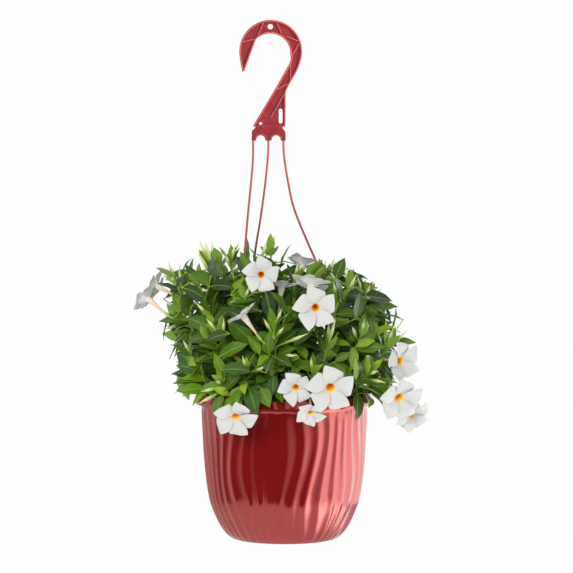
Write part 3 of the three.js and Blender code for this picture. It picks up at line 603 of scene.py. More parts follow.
# Where each faces from and to, its width, its tube's length, its turn, and its shoot with the share up it
BLOOM_NAMES = ("face", "aim", "width", "tube", "turn", "shoot", "from")
BLOOMS = [
    ((-33, -97, 178), (0, -1, 0.02), 53, 38, 8, 11, 0.96),
    ((44, -127, 134), (0.02, -1, 0), 62, 38, 20, 14, 0.9),
    ((-69, -156, -18), (-0.06, -0.86, -0.5), 62, 38, -4, 21, 0.86),
    ((16, -143, 22), (-0.15, -0.97, -0.15), 49, 36, 30, 20, 0.72),
    ((65, -154, 23), (0.04, -0.97, -0.2), 69, 40, 14, 20, 0.92),
    ((37, -143, -14), (0.02, -0.84, -0.54), 42, 30, 50, 20, 0.84),
    ((166, -62, 51), (0.62, -0.78, 0.04), 58, 36, 25, 18, 0.8),
    ((164, -80, 0), (0.36, -0.86, -0.36), 66, 38, 12, 18, 0.6),
    ((183, -50, -28), (0.42, -0.78, -0.46), 52, 38, 40, 18, 0.66),
    ((-196, -30, 137), (-0.7, 0.5, 0.52), 46, 39, 0, 3, 0.97),
    ((-184, 22, 150), (-0.8, 0.46, 0.36), 44, 34, 30, 4, 0.88),
    ((-58, -112, 120), (-0.6, 0.05, 0.8), 50, 37, 10, 9, 0.8),
    ((-4, -50, 156), (0.1, 0.2, 0.97), 52, 36, 0, 12, 0.7),
    ((38, -78, 160), (0.2, 0.45, 0.87), 56, 38, 22, 14, 0.8),
    ((27, 10, 182), (0.3, 0.4, 0.86), 50, 34, 5, 12, 0.9),
    ((-78, 142, 122), (-0.3, 0.92, 0.2), 56, 38, 12, 27, 0.97),
    ((50, 152, 122), (0.15, 0.97, 0.18), 60, 38, 33, 28, 0.96),
    ((118, 132, 90), (0.5, 0.86, 0.1), 54, 38, 50, 25, 0.7),
    ((-40, 166, 38), (-0.15, 0.97, -0.1), 54, 38, 3, 31, 0.97),
    ((-130, 126, 60), (-0.6, 0.8, 0.1), 54, 38, 25, 30, 0.6),
]
blooms = [dict(zip(BLOOM_NAMES, row)) for row in BLOOMS]
for bloom in blooms:
    aim = Vector(bloom["aim"]).normalized()
    side = Vector((0, 0, 1)).cross(aim)
    if side.length < 0.3:
        side = Vector((1, 0, 0)).cross(aim)
    bloom["aim"], bloom["side"] = aim, side.normalized()
    bloom["up"] = aim.cross(bloom["side"])
    bloom["face"] = Vector(bloom["face"])
    bloom["foot"] = bloom["face"] - aim * bloom["tube"]


def petal_points(bloom, petal, number, across, along):
    """The inner skin of one fifth of a bloom: across from edge to edge, along from foot to outer edge."""
    radius = bloom["width"] / 2
    tube_share = TUBE_ROWS / (TUBE_ROWS + LOBE_ROWS)
    down = np.clip(along / tube_share, 0, 1)
    out = np.clip((along - tube_share) / (1 - tube_share), 0, 1)
    stations = np.array(FUNNEL)
    funnel = np.interp(down, stations[:, 0], stations[:, 1] + stations[:, 2] * radius)
    left, right = np.array(LEFT_EDGE), np.array(RIGHT_EDGE)
    angle_left = np.interp(out, left[:, 0], left[:, 1])
    angle_right = np.interp(out, right[:, 0], right[:, 1])
    reach_left = np.interp(out, left[:, 0], left[:, 2])
    reach_right = np.interp(out, right[:, 0], right[:, 2]) * (1 + spread(0.04, number, petal, 71) * out)
    angle = bloom["turn"] + 72 * petal + angle_left + (angle_right - angle_left) * across
    reach = (reach_left + (reach_right - reach_left) * across ** 2.3) * radius
    wave = 0.022 * np.sin(math.pi * (3 * across + 2 * draw(number, petal, 72))) * out ** 2
    lie = 0.05 * np.sin(math.pi * out) * np.sin(math.pi * across)
    lap = 0.12 * (across - 0.5) * np.clip(3 * out, 0, 1)
    cup = 0.25 * np.sin(0.5 * math.pi * np.clip((reach / radius - MOUTH) / 0.7, 0, 1)) * (out > 0)
    tip = (-0.04 + spread(0.04, number, petal, 73)) * out ** 2 * (0.4 + across)
    height = (lie + wave + lap + cup + tip) * radius - (1 - down) * bloom["tube"]
    distance = np.where(along < tube_share, funnel, reach)
    turn = np.radians(angle)
    return (np.array(bloom["face"]) + np.outer(distance * np.cos(turn), bloom["side"])
            + np.outer(distance * np.sin(turn), bloom["up"]) + np.outer(height, bloom["aim"]))


def grid_blank(columns, rows):
    """A flat grid from 0 to 1 both ways, as its corners and its faces, to be shaped many times."""
    bpy.ops.mesh.primitive_grid_add(x_subdivisions=columns, y_subdivisions=rows, size=1)
    blank = bpy.context.active_object
    corners = np.array([(v.co.x + 0.5, v.co.y + 0.5) for v in blank.data.vertices])
    faces = np.array([list(p.vertices) for p in blank.data.polygons])
    bpy.data.objects.remove(blank)
    return corners, faces


def sheets(name, map_name, skins, corners, faces, tones, thickness, materials):
    """Copies of a shaped blank as one mesh, each with its map, given their thickness on the far side."""
    count = len(corners)
    mesh = bpy.data.meshes.new(name)
    all_faces = np.vstack([faces + count * k for k in range(len(skins))])
    mesh.from_pydata(np.vstack(skins).tolist(), [], all_faces.tolist())
    layer = mesh.uv_layers.new(name=map_name)
    layer.data.foreach_set("uv", corners[np.tile(faces.ravel(), len(skins))].astype(np.float32).ravel())
    tone_values = mesh.attributes.new("tone", "FLOAT", "POINT")
    tone_values.data.foreach_set("value", np.repeat(tones, count).astype(np.float32))
    for material in materials:
        mesh.materials.append(material)
    piece = new_piece(name, mesh)
    bpy.ops.object.mode_set(mode="EDIT")
    bpy.ops.mesh.select_all(action="SELECT")
    bpy.ops.mesh.remove_doubles(threshold=0.02)
    bpy.ops.object.mode_set(mode="OBJECT")
    # The far side takes the second material, and the rim between the sides the first
    body = piece.modifiers.new("thickness", "SOLIDIFY")
    body.thickness, body.offset = thickness, -1
    body.material_offset = 1
    body.material_offset_rim = 0
    bpy.ops.object.modifier_apply(modifier=body.name)
    return piece


def map_place(tree, map_name):
    """Where a point lies on its sheet's map, across it and along it."""
    where = add_node(tree, "ShaderNodeUVMap", uv_map=map_name)
    split = add_node(tree, "ShaderNodeSeparateXYZ", {"Vector": where.outputs["UV"]})
    return split.outputs["X"], split.outputs["Y"]


# Petal tissue is thin, soft and cool white with a faint silky sheen. Inside the throat it turns yellow
# and then orange, and fine veins run out along each lobe, 1.5 mm apart.
petal_inside, tree, shader = new_material("petal_tissue_inside", "#c6c7c3", 0.5)
across, along = map_place(tree, "petal_map")
throat = colour_ramp(tree, along, [
    (0.3, colour("#e8a62a")), (0.4, colour("#eeb028")), (0.462, colour("#f6ce55")),
    (0.5, colour("#c7c8c4"))])
tree.links.new(throat, shader.inputs["Base Color"])
# The throat glows faintly: painted light that stands for daylight coming through the thin wall of the tube
# from behind
tree.links.new(throat, shader.inputs["Emission Color"])
glow = rescale(tree, along, 0.44, 0.5, 0.05, 0.0)
tree.links.new(glow, shader.inputs["Emission Strength"])
emboss(tree, shader, reckon(tree, "SINE", reckon(tree, "MULTIPLY", across, 56.0)), 0.12, 0.12)
# Outside, the tube is cream at its foot and peach above, and the lobes are white. The whole outside glows
# faintly in the same colours, painted light that lightens the shaded backs of the petals.
petal_outside, tree, shader = new_material(
    "petal_tissue_outside", "#cccbc4", 0.55, Emission_Strength=0.05)
blush = colour_ramp(tree, map_place(tree, "petal_map")[1], [
    (0, colour("#c2b27f")), (0.2, colour("#d8bd9c")), (0.4, colour("#d8cabb")),
    (0.56, colour("#cfcfcc"))])
tree.links.new(blush, shader.inputs["Base Color"])
tree.links.new(blush, shader.inputs["Emission Color"])

petal_corners, petal_faces = grid_blank(PETAL_COLUMNS, TUBE_ROWS + LOBE_ROWS)
for number, bloom in enumerate(blooms):
    skins = [petal_points(bloom, petal, number, *petal_corners.T) for petal in range(5)]
    flower = sheets(f"white_bloom_{number + 1:02d}", "petal_map", skins, petal_corners,
                    petal_faces[:, ::-1], [0] * 5, TISSUE, (petal_inside, petal_outside))
    finish(flower, angle=80)
    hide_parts(f"bloom_{number + 1:02d}")


# The shoots: thirty-two green stems that root in the soil and bow outward, with leaves in crossed pairs,
# buds and the blooms' stalks. Each is grown by the rule of the solid it replaces, and a leaf stands where
# that solid has its tip. More leaves on the same stems and on side twigs then fill the crown.

# The leaves' keys for draw: the leaves of the solids have the lowest, and each further kind its own range
PAIR_KEYS = 10000
HANGING_KEYS = 50000
STRAND_KEYS = 51000
TWIG_KEYS = 60000
LOW_KEYS = 80000
GAP_KEYS = 90000
STEM_RADIUS = 1.9
STEM_STATIONS = (0, 0.36, 0.7, 1)
ROOT_DEPTH = 12
ROOT_CIRCLE = 96
LEAF_STALK = 0.1
LEAF_FOLD = 0.22
LEAF_TRIES = 14
# The first and the last pair's shares of the stem's length
FIRST_PAIR = 0.36
LAST_PAIR = 0.985
# How near the tip of a try must come to the solid's, and how far an added leaf's tip may stand from the
# solids' foliage, a gap leaf's too, and a twig's leaf from its stem
TIP_MATCH = 0.06
FOLIAGE_REACH = 26
GAP_REACH = 38
TWIG_REACH = 54
# The blooms from the first to this one face the front, and no leaf may stand before them
FRONT_BLOOMS = 12
# No added leaf reaches past this radius, or above this height
CROWN_RADIUS = 196
CROWN_TOP = 226
# Where each tip stands, how many pairs of leaves it has and how long they are
SHOOTS = [
    ((-91, -80, 91), 4, 54), ((-104, -58, 115), 4, 56), ((-132, -35, 55), 3, 50),
    ((-147, -18, 117), 4, 46), ((-155, -2, 153), 4, 44), ((-124, -45, 161), 4, 46),
    ((-105, 8, 181), 4, 46), ((-78, -25, 188), 4, 46),
    ((-36, 20, 182), 4, 46), ((-15, -100, 99), 4, 52), ((-52, -98, 38), 3, 52), ((-58, -66, 140), 4, 48),
    ((14, -15, 157), 4, 46), ((62, -92, 71), 4, 50), ((77, -60, 136), 4, 50), ((92, -24, 152), 4, 46),
    ((118, 4, 131), 4, 48), ((110, -58, 87), 4, 50), ((147, -30, 65), 4, 50), ((118, -72, 32), 3, 50),
    ((40, -98, 36), 3, 46), ((-87, -98, 24), 3, 48), ((-95, 72, 168), 4, 50), ((-20, 74, 190), 3, 48),
    ((62, 70, 158), 3, 48), ((132, 66, 100), 4, 50), ((-148, 58, 100), 4, 50), ((-66, 128, 92), 3, 52),
    ((14, 136, 104), 3, 52), ((90, 118, 66), 3, 50), ((-116, 98, 40), 3, 50), ((2, 118, 30), 2, 48),
]
# The buds: the shoot, the share up it and the bud's tip
BUDS = [
    (6, 0.97, (-124, 3, 222)), (6, 0.9, (-116, -8, 224)), (6, 0.99, (-104, 14, 219)),
    (6, 0.84, (-128, -6, 208)), (4, 0.97, (-168, -10, 190)), (4, 0.9, (-152, -20, 184)),
    (5, 0.92, (-136, -56, 164)),
    (5, 0.99, (-112, -62, 186)), (1, 0.97, (-128, -64, 136)), (3, 0.9, (-174, -28, 92)),
    (0, 0.97, (-112, -92, 116)), (11, 0.98, (-50, -92, 160)), (8, 0.98, (-26, 20, 218)),
    (12, 0.98, (20, -18, 191)), (15, 0.93, (66, -26, 176)), (15, 0.99, (88, -22, 186)),
    (16, 0.97, (104, -12, 172)), (14, 0.98, (70, -66, 166)), (9, 0.99, (-3, -104, 132)),
    (9, 0.92, (-30, -114, 118)), (9, 0.8, (36, -126, 98)), (9, 0.7, (20, -128, 66)),
    (13, 0.98, (63, -98, 112)), (20, 0.98, (38, -108, 62)), (10, 0.95, (-24, -122, 52)),
    (18, 0.96, (146, -32, 108)), (18, 0.86, (180, -36, 96)), (16, 0.99, (142, 2, 150)),
    (19, 0.9, (146, -84, 22)), (21, 0.9, (-120, -112, 12)), (22, 0.98, (-92, 76, 204)),
    (23, 0.98, (-14, 78, 222)), (24, 0.97, (74, 76, 190)), (25, 0.97, (150, 78, 130)),
    (28, 0.97, (20, 152, 134)), (26, 0.97, (-166, 68, 132)),
]


def unit(vector):
    """A vector's direction, at length one."""
    return vector / np.linalg.norm(vector)


def bezier(corners, share):
    """A point of a curve drawn by four corners, at a share of its run."""
    a, b, c, d = corners
    rest = 1 - share
    return rest ** 3 * a + 3 * rest ** 2 * share * b + 3 * rest * share ** 2 * c + share ** 3 * d


def grow_shoot(index, tip, pairs, leaf):
    """The curve of a stem from its root in the soil to its tip, with its length measured along it."""
    tip = np.array(tip, float)
    spacing = min(0.74 - 0.0014 * tip[2], ROOT_CIRCLE / math.hypot(tip[0], tip[1]))
    root = np.array([tip[0] * spacing, tip[1] * spacing, -SOIL_DROP - ROOT_DEPTH])
    rise = tip[2] - root[2]
    out = np.array([tip[0] - root[0], tip[1] - root[1], 0])
    corners = [
        root, root + 0.06 * out + [0, 0, 0.45 * rise], root + 0.7 * out + [0, 0, 0.72 * rise], tip,
    ]
    line = np.array([bezier(corners, i / 200) for i in range(201)])
    lengths = np.concatenate([[0], np.cumsum(np.linalg.norm(np.diff(line, axis=0), axis=1))])
    return {"index": index, "corners": corners, "lengths": lengths, "pairs": pairs, "leaf": leaf,
            "tip": tip, "spin": spread(math.pi, index, 1)}


def run_at(shoot, share):
    """The run of a stem's curve at a share of its length."""
    return np.interp(share * shoot["lengths"][-1], shoot["lengths"], np.linspace(0, 1, 201))


def stem_point(shoot, share):
    """The point at a share of a stem's length, on the straight runs between its stations."""
    after = max(1, next(i for i, station in enumerate(STEM_STATIONS) if station >= share))
    start, end = STEM_STATIONS[after - 1], STEM_STATIONS[after]
    a = bezier(shoot["corners"], run_at(shoot, start))
    b = bezier(shoot["corners"], run_at(shoot, end))
    return a + (b - a) * (share - start) / (end - start)


def stem_frame(shoot, share):
    """Where the stem is, the way it runs, and the two ways its leaf pairs face."""
    run = run_at(shoot, share)
    low, high = max(run - 0.0001, 0), min(run + 0.0001, 1)
    stem = unit(bezier(shoot["corners"], high) - bezier(shoot["corners"], low))
    level = unit(np.cross([0, 1, 0], stem))
    spin = shoot["spin"]
    across = level * math.cos(spin) + np.cross(stem, level) * math.sin(spin)
    return stem_point(shoot, share), stem, across, np.cross(stem, across)


def aim_leaf(root, stem, direction, length, width, arch, young, roll=0.4):
    """A leaf's place: its root, the way it points, and its upper side, rolled towards the light."""
    direction = unit(direction)
    rise = stem * 0.5 + np.array([0, 0, 0.6])
    rise = unit(rise - direction * (rise @ direction))
    sideways = np.cross(direction, rise)
    light = unit(np.array([root[0], root[1], 70.0]))
    lean = math.atan2(light @ sideways, max(light @ rise, 0.15))
    lean = max(-roll, min(roll, lean))
    up = rise * math.cos(lean) + sideways * math.sin(lean)
    return {"root": root, "direction": direction, "rise": rise, "up": up, "length": length,
            "width": width, "arch": arch, "young": young}


def leaving(stem, across, third, turn, lift):
    """A direction that leaves a stem at a turn round it, lifted by an angle along it."""
    outward = across * math.cos(turn) + third * math.sin(turn)
    return outward * math.cos(lift) + stem * math.sin(lift)


def place_leaf(shoot, pair, side, attempt):
    """Where a leaf would stand at one of its tries, as in the solid."""
    key = (shoot["index"], pair, side)
    height = pair / (shoot["pairs"] - 1)
    along = FIRST_PAIR + (LAST_PAIR - FIRST_PAIR) * height + spread(0.012, shoot["index"], pair, 7)
    root, stem, across, third = stem_frame(shoot, along)
    loose = attempt * 0.16
    turn = pair * math.pi / 2 + side * math.pi + spread(0.12 + loose, *key, attempt, 2)
    lift = math.radians(2 + 60 * height ** 1.2) + spread(0.18 + loose, *key, attempt, 3)
    direction = leaving(stem, across, third, turn, lift)
    direction[2] += 0.05 + 0.1 * height
    young = max(0, height - 0.55) / 0.45
    length = shoot["leaf"] * (1 - 0.28 * young) * (1 + spread(0.1, *key, 4)) * (1 - 0.022 * attempt)
    width = length * (0.4 - 0.1 * young + spread(0.03, *key, 5))
    arch = 0.26 - 0.16 * height + spread(0.06, *key, 6)
    return aim_leaf(root, stem, direction, length, width, arch, young)


def leaf_points(leaf, across, along, key):
    """The upper skin of a leaf: across from -1 to 1, along from its root to its drawn-out tip."""
    blade = np.clip((along - LEAF_STALK) / (1 - LEAF_STALK), 0, 1)
    swell = np.clip(np.sin(np.pi * blade ** 0.76), 0, 1) ** (0.72 + 0.4 * blade ** 3)
    half = 0.56 * leaf["width"] * swell * (1 - 0.35 * np.clip(8 * blade - 7, 0, 1))
    half = np.where(along < 0.4, np.maximum(half, 0.3), half)
    ripple = 0.035 * leaf["width"] * np.sin(2 * np.pi * (2.3 * along + draw(key, 81))) * across ** 2
    lift = LEAF_FOLD * half * np.abs(across) ** 1.4 + ripple * np.clip(4 * blade, 0, 1)
    bend = leaf["length"] * leaf["arch"] * along * (0.5 - along)
    sideways = np.cross(leaf["direction"], leaf["up"])
    sway = spread(0.05, key, 82) * leaf["length"] * along ** 2
    return (leaf["root"] + np.outer(along * leaf["length"], leaf["direction"])
            + np.outer(bend, leaf["rise"]) + np.outer(lift, leaf["up"])
            + np.outer(half * across + sway * blade, sideways))


shoots = [grow_shoot(index, *shoot) for index, shoot in enumerate(SHOOTS)]
test_corners, test_faces = grid_blank(2, 5)
test_across = 2 * test_corners[:, 0] - 1
test_along = 0.17 + 0.83 * test_corners[:, 1]
taken = {"lows": [], "highs": [], "trees": []}


def skin_tree(points, faces):
    """A skin's lowest and highest corners and its tree of faces, to test others against."""
    return points.min(0), points.max(0), BVHTree.FromPolygons(points.tolist(), faces.tolist())


def take_up(low, high, tree_of_faces):
    """Notes a skin as standing there."""
    taken["lows"].append(low)
    taken["highs"].append(high)
    taken["trees"].append(tree_of_faces)


def is_free(low, high, tree_of_faces):
    """Whether a skin crosses nothing that stands there."""
    near = (np.array(taken["lows"]) < high).all(1) & (np.array(taken["highs"]) > low).all(1)
    return not any(tree_of_faces.overlap(taken["trees"][i]) for i in np.nonzero(near)[0])


def piece_tree(piece):
    """The same for a finished piece, brought back to millimetres from the rim's middle."""
    points = (np.array([v.co for v in piece.data.vertices]) - RIM_MIDDLE) / MM
    faces = [list(p.vertices) for p in piece.data.polygons]
    return points.min(0), points.max(0), BVHTree.FromPolygons(points.tolist(), faces)


for piece in (pot, hanger):
    take_up(*piece_tree(piece))
# Each bloom is tested as a wide cone round its trumpet and lobes
cone_corners, cone_faces = grid_blank(10, 3)
for bloom in blooms:
    turn = 2 * np.pi * cone_corners[:, 0]
    reach = np.interp(cone_corners[:, 1], [0, 0.4, 0.7, 1], [1, 2.2, 7, 0.5 * bloom["width"] + 1])
    height = np.interp(cone_corners[:, 1], [0, 0.4, 0.7, 1],
                       [-bloom["tube"], -0.5 * bloom["tube"], -3, 0.13 * bloom["width"]])
    take_up(*skin_tree(
        np.array(bloom["face"]) + np.outer(reach * np.cos(turn), bloom["side"])
        + np.outer(reach * np.sin(turn), bloom["up"]) + np.outer(height, bloom["aim"]), cone_faces))

# First the leaves of the solids: each of their tips belongs to one of the tries
solids = [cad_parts[f"leafy_stem_{shoot['index'] + 1:02d}"].data.vertices for shoot in shoots]
foliage = KDTree(sum(map(len, solids)))
solid_points = []
for solid in solids:
    corners = KDTree(len(solid))
    for v in solid:
        corners.insert((v.co - RIM_MIDDLE) / MM, v.index)
        foliage.insert((v.co - RIM_MIDDLE) / MM, v.index)
    corners.balance()
    solid_points.append(corners)
foliage.balance()

leaves = [[] for _ in shoots]
twigs = [[] for _ in shoots]
for shoot in shoots:
    for pair in range(shoot["pairs"]):
        for side in (0, 1):
            tries = [place_leaf(shoot, pair, side, attempt) for attempt in range(LEAF_TRIES)]
            tips = [leaf["root"] + leaf["direction"] * leaf["length"]
                    - leaf["rise"] * 0.5 * leaf["length"] * leaf["arch"] for leaf in tries]
            gaps = [solid_points[shoot["index"]].find(tip)[2] for tip in tips]
            leaf = tries[int(np.argmin(gaps))]
            if min(gaps) < TIP_MATCH:
                leaf["key"] = shoot["index"] * 100 + pair * 2 + side
                leaf["tone"] = 0.26 + 0.36 * leaf["young"] + spread(0.2, leaf["key"], 83)
                leaves[shoot["index"]].append(leaf)
                take_up(*skin_tree(leaf_points(leaf, test_across, test_along, leaf["key"]), test_faces))


def turned_skin(start, axis, radii, heights, corners, ridges=0.0, twist=0.0, teeth=0.0):
    """A skin round an axis, with five ridges that may twist, or with five teeth along its upper edge."""
    first = unit(np.cross([0.3, 1, 0.2], axis))
    second = np.cross(axis, first)
    turn = 2 * np.pi * corners[:, 0]
    stations = np.linspace(0, 1, len(radii))
    radius = np.interp(corners[:, 1], stations, radii) * (
        1 + ridges * np.cos(5 * (turn - twist * corners[:, 1])) * np.sin(np.pi * corners[:, 1]))
    height = np.interp(corners[:, 1], stations, heights) + teeth * np.cos(5 * turn) * corners[:, 1] ** 2
    return start + (np.outer(radius * np.cos(turn), first) + np.outer(radius * np.sin(turn), second)
                    + np.outer(height, axis))


def bud_skin_tree(along, tip, shoot):
    """A closed bud as a simple spindle, to test others against."""
    base, tip = stem_point(shoot, along), np.array(tip, float)
    axis, reach = unit(tip - base), np.linalg.norm(tip - base)
    return skin_tree(turned_skin(base + axis * 0.3 * reach, axis, [1.6, 3.2, 2.6, 0.4],
                                 np.linspace(-1, 0.7 * reach, 4), cone_corners), cone_faces)


# Then the buds, and lesser buds that the solids leave out, where there is room for them
LESSER_BUDS = [
    (5, 0.96, (-112, -70, 152)), (1, 0.82, (-122, -84, 92)), (9, 0.86, (-18, -116, 94)),
    (9, 0.9, (0, -116, 106)), (21, 0.96, (-98, -116, 28)), (13, 0.9, (66, -106, 116)),
    (19, 0.97, (134, -86, 40)), (21, 0.82, (-124, -110, -6)), (0, 0.92, (-86, -104, 118)),
    (7, 0.99, (-70, -42, 218)), (7, 0.94, (-86, -50, 206)), (17, 0.98, (112, -78, 118)),
    (17, 0.92, (96, -86, 104)), (18, 0.98, (160, -46, 92)), (10, 0.98, (-60, -122, 66)),
    (2, 0.97, (-146, -60, 82)), (15, 0.88, (104, -44, 176)), (16, 0.9, (124, -24, 160)),
    (24, 0.9, (60, 96, 184)), (22, 0.9, (-110, 92, 190)), (27, 0.96, (-74, 148, 120)),
    (29, 0.96, (104, 134, 92)), (30, 0.96, (-136, 110, 66)), (25, 0.9, (158, 90, 108)),
]
BUD_TRIES = 10
for index, along, tip in BUDS:
    take_up(*bud_skin_tree(along, tip, shoots[index]))
for number, (index, along, tip) in enumerate(LESSER_BUDS):
    for attempt in range(BUD_TRIES):
        moved = np.array(tip) + [spread(2.2 * attempt, number, attempt, 130 + k) for k in range(3)]
        skin = bud_skin_tree(along, moved, shoots[index])
        if is_free(*skin):
            take_up(*skin)
            BUDS.append((index, along, moved))
            break


def stands_clear(points):
    """Whether a leaf keeps to the crown, above the soil and the rim, and hides no bloom's face."""
    out = np.hypot(points[:, 0], points[:, 1])
    lowest = np.where(out < RIM_RADIUS - 3, 2 - SOIL_DROP, np.where(out < LIP_RADIUS + 4, 1, -24))
    if (out > CROWN_RADIUS).any() or (points[:, 2] > CROWN_TOP).any() or (points[:, 2] < lowest).any():
        return False
    for number, bloom in enumerate(blooms):
        away = points - np.array(bloom["face"])
        ahead = away @ np.array(bloom["aim"])
        beside = np.linalg.norm(away - np.outer(ahead, bloom["aim"]), axis=1)
        if ((ahead > -2) & (ahead < 70) & (beside < 0.5 * bloom["width"] + 3 + 0.1 * ahead)).any():
            return False
        before = (away[:, 1] < 0) & (np.hypot(away[:, 0], away[:, 2]) < 0.55 * bloom["width"])
        if number < FRONT_BLOOMS and before.any():
            return False
    return True


def try_leaf(shoot, leaf, key, tone):
    """Adds a leaf if it finds room, near the leaves of the solids."""
    points = leaf_points(leaf, test_across, test_along, key)
    reach = FOLIAGE_REACH if key < GAP_KEYS else GAP_REACH
    if not stands_clear(points) or foliage.find(points[-1])[2] > reach:
        return False
    skin = skin_tree(points, test_faces)
    if not is_free(*skin):
        return False
    take_up(*skin)
    leaf["key"], leaf["tone"] = key, tone
    leaves[shoot["index"]].append(leaf)
    return True


# Next, leaves given one by one: the shoot, the share up it, where the leaf's stalk ends and its tip. Some
# hang over the rim, and the others stand on the crown's outline.
HANGING = [
    (10, 0.5, (-52, -116, 22), (-40, -146, -16)), (10, 0.62, (-34, -120, 20), (-22, -143, -6)),
    (21, 0.5, (-88, -102, 9), (-98, -120, -22)), (21, 0.6, (-70, -112, 14), (-66, -140, -4)),
    (21, 0.36, (-112, -70, 10), (-152, -66, 6)), (2, 0.36, (-110, -40, 16), (-158, -44, 16)),
    (2, 0.5, (-108, -60, 24), (-150, -76, 30)), (19, 0.5, (104, -84, 10), (104, -104, -26)),
    (19, 0.62, (116, -66, 14), (140, -84, -6)), (20, 0.4, (60, -112, 12), (84, -134, 0)),
    (20, 0.5, (-4, -122, 14), (2, -148, -2)), (18, 0.36, (124, -30, 14), (160, -48, 18)),
    (9, 0.3, (22, -112, 30), (18, -142, 44)), (13, 0.36, (88, -96, 24), (112, -122, 22)),
    (31, 0.5, (-8, 124, 10), (-14, 148, -14)), (29, 0.4, (74, 104, 14), (92, 128, -8)),
    (30, 0.4, (-108, 80, 14), (-136, 98, -10)), (26, 0.3, (-126, 20, 14), (-158, 26, -6)),
]
OUTLINE = [
    (4, 0.95, (-160, -12, 164), (-184, -16, 180)), (4, 0.8, (-132, -34, 130), (-178, -36, 128)),
    (3, 0.85, (-134, -38, 106), (-178, -40, 104)), (4, 0.9, (-150, -18, 144), (-181, -20, 158)),
    (5, 0.95, (-126, -30, 160), (-142, -30, 186)), (4, 0.96, (-150, -14, 168), (-139, -14, 192)),
    (15, 0.9, (102, -20, 133), (131, -22, 156)), (16, 0.85, (107, -2, 130), (132, -6, 143)),
    (18, 0.95, (152, -26, 68), (188, -28, 74)), (7, 0.97, (-84, -30, 186), (-88, -30, 212)),
    (7, 0.95, (-72, -26, 188), (-66, -28, 210)), (6, 0.97, (-96, 0, 182), (-100, -4, 208)),
]
# The numbers of those that hang in the light, with painted light that makes them paler than the others
PALER = (4, 6, 11)
HAND_TRIES = 16
for number, (index, along, base, tip) in enumerate(HANGING + OUTLINE):
    shoot = shoots[index]
    for attempt in range(HAND_TRIES):
        key = HANGING_KEYS + number * 20 + attempt
        move = np.array([spread(1, key, 101), spread(1, key, 102), spread(1, key, 103)]) * 0.8 * attempt
        start, end = np.array(base, float) + 0.6 * move, np.array(tip, float) + move
        length = np.linalg.norm(end - start)
        leaf = aim_leaf(start, np.array([0, 0, 1.0]), end - start + [0, 0, 0.12 * length],
                        1.04 * length, length * (0.46 + spread(0.04, number, 87)), 0.2, 0, 0.8)
        skin = skin_tree(leaf_points(leaf, test_across, test_along, key), test_faces)
        if is_free(*skin):
            take_up(*skin)
            leaf["key"] = key
            lighter = 0.002 * tip[2] if number >= len(HANGING) else 0.35 if number in PALER else 0
            leaf["tone"] = 0.2 + spread(0.18, number, 89) + lighter
            leaves[index].append(leaf)
            stalk_foot = stem_point(shoot, along)
            twigs[index].append([stalk_foot, stalk_foot * 0.5 + start * 0.5 + [0, 0, 5], start])
            break

# Leaves on twigs in front of two strands hide them below the top of the crown
reached = [(shoot["index"], stem_point(shoot, share))
           for shoot in shoots for share in np.linspace(0.3, 1, 15)]
reached_points = np.array([place for _, place in reached])


def leaf_on_twig(middle, direction, key, length, tone, roll):
    """Tries to stand a leaf about a point, on a twig of the nearest stem."""
    root = middle - unit(direction) * 0.55 * length
    away = np.linalg.norm(reached_points - root, axis=1)
    index, start = reached[int(np.argmin(away))]
    width = length * (0.43 + spread(0.04, key, 110))
    leaf = aim_leaf(root, np.array([0, 0, 1.0]), direction, length, width, 0.2, 0, roll)
    if away.min() > TWIG_REACH or not try_leaf(shoots[index], leaf, key, tone):
        return False
    twigs[index].append([start, start * 0.5 + root * 0.5 + [0, 0, 4], root])
    return True


STRAND_STEPS = 17
STRAND_PITCH = 12
STRAND_TRIES = 24
for strand_key, strand in ((STRAND_KEYS, 0), (STRAND_KEYS + 1000, 2)):
    turn = SLOT_ANGLES[strand]
    slot = (SLOT_CIRCLE * math.cos(turn), SLOT_CIRCLE * math.sin(turn), 12)
    line = smooth_line([*STRANDS[strand], slot], 9)
    for step in range(STRAND_STEPS):
        height = 6 + STRAND_PITCH * step
        point = np.array([np.interp(-height, -line[:, 2], line[:, k]) for k in range(3)])
        for attempt in range(STRAND_TRIES):
            key = strand_key + step * 40 + attempt
            top = height > 140
            slope = math.radians(38 + 32 * top + spread(34 - 18 * top, key, 111))
            way = -1 if (step + attempt) % 2 else 1
            direction = np.array([way * math.cos(slope), spread(0.3, key, 112), math.sin(slope)])
            ahead = [spread(7, key, 113), -9 - 1.3 * attempt * draw(key, 114), spread(6, key, 115)]
            if leaf_on_twig(point + ahead, direction, key, 43 - 9 * top + spread(6, key, 116),
                            0.34 + 0.25 * top + spread(0.25, key, 117), 1.2):
                break

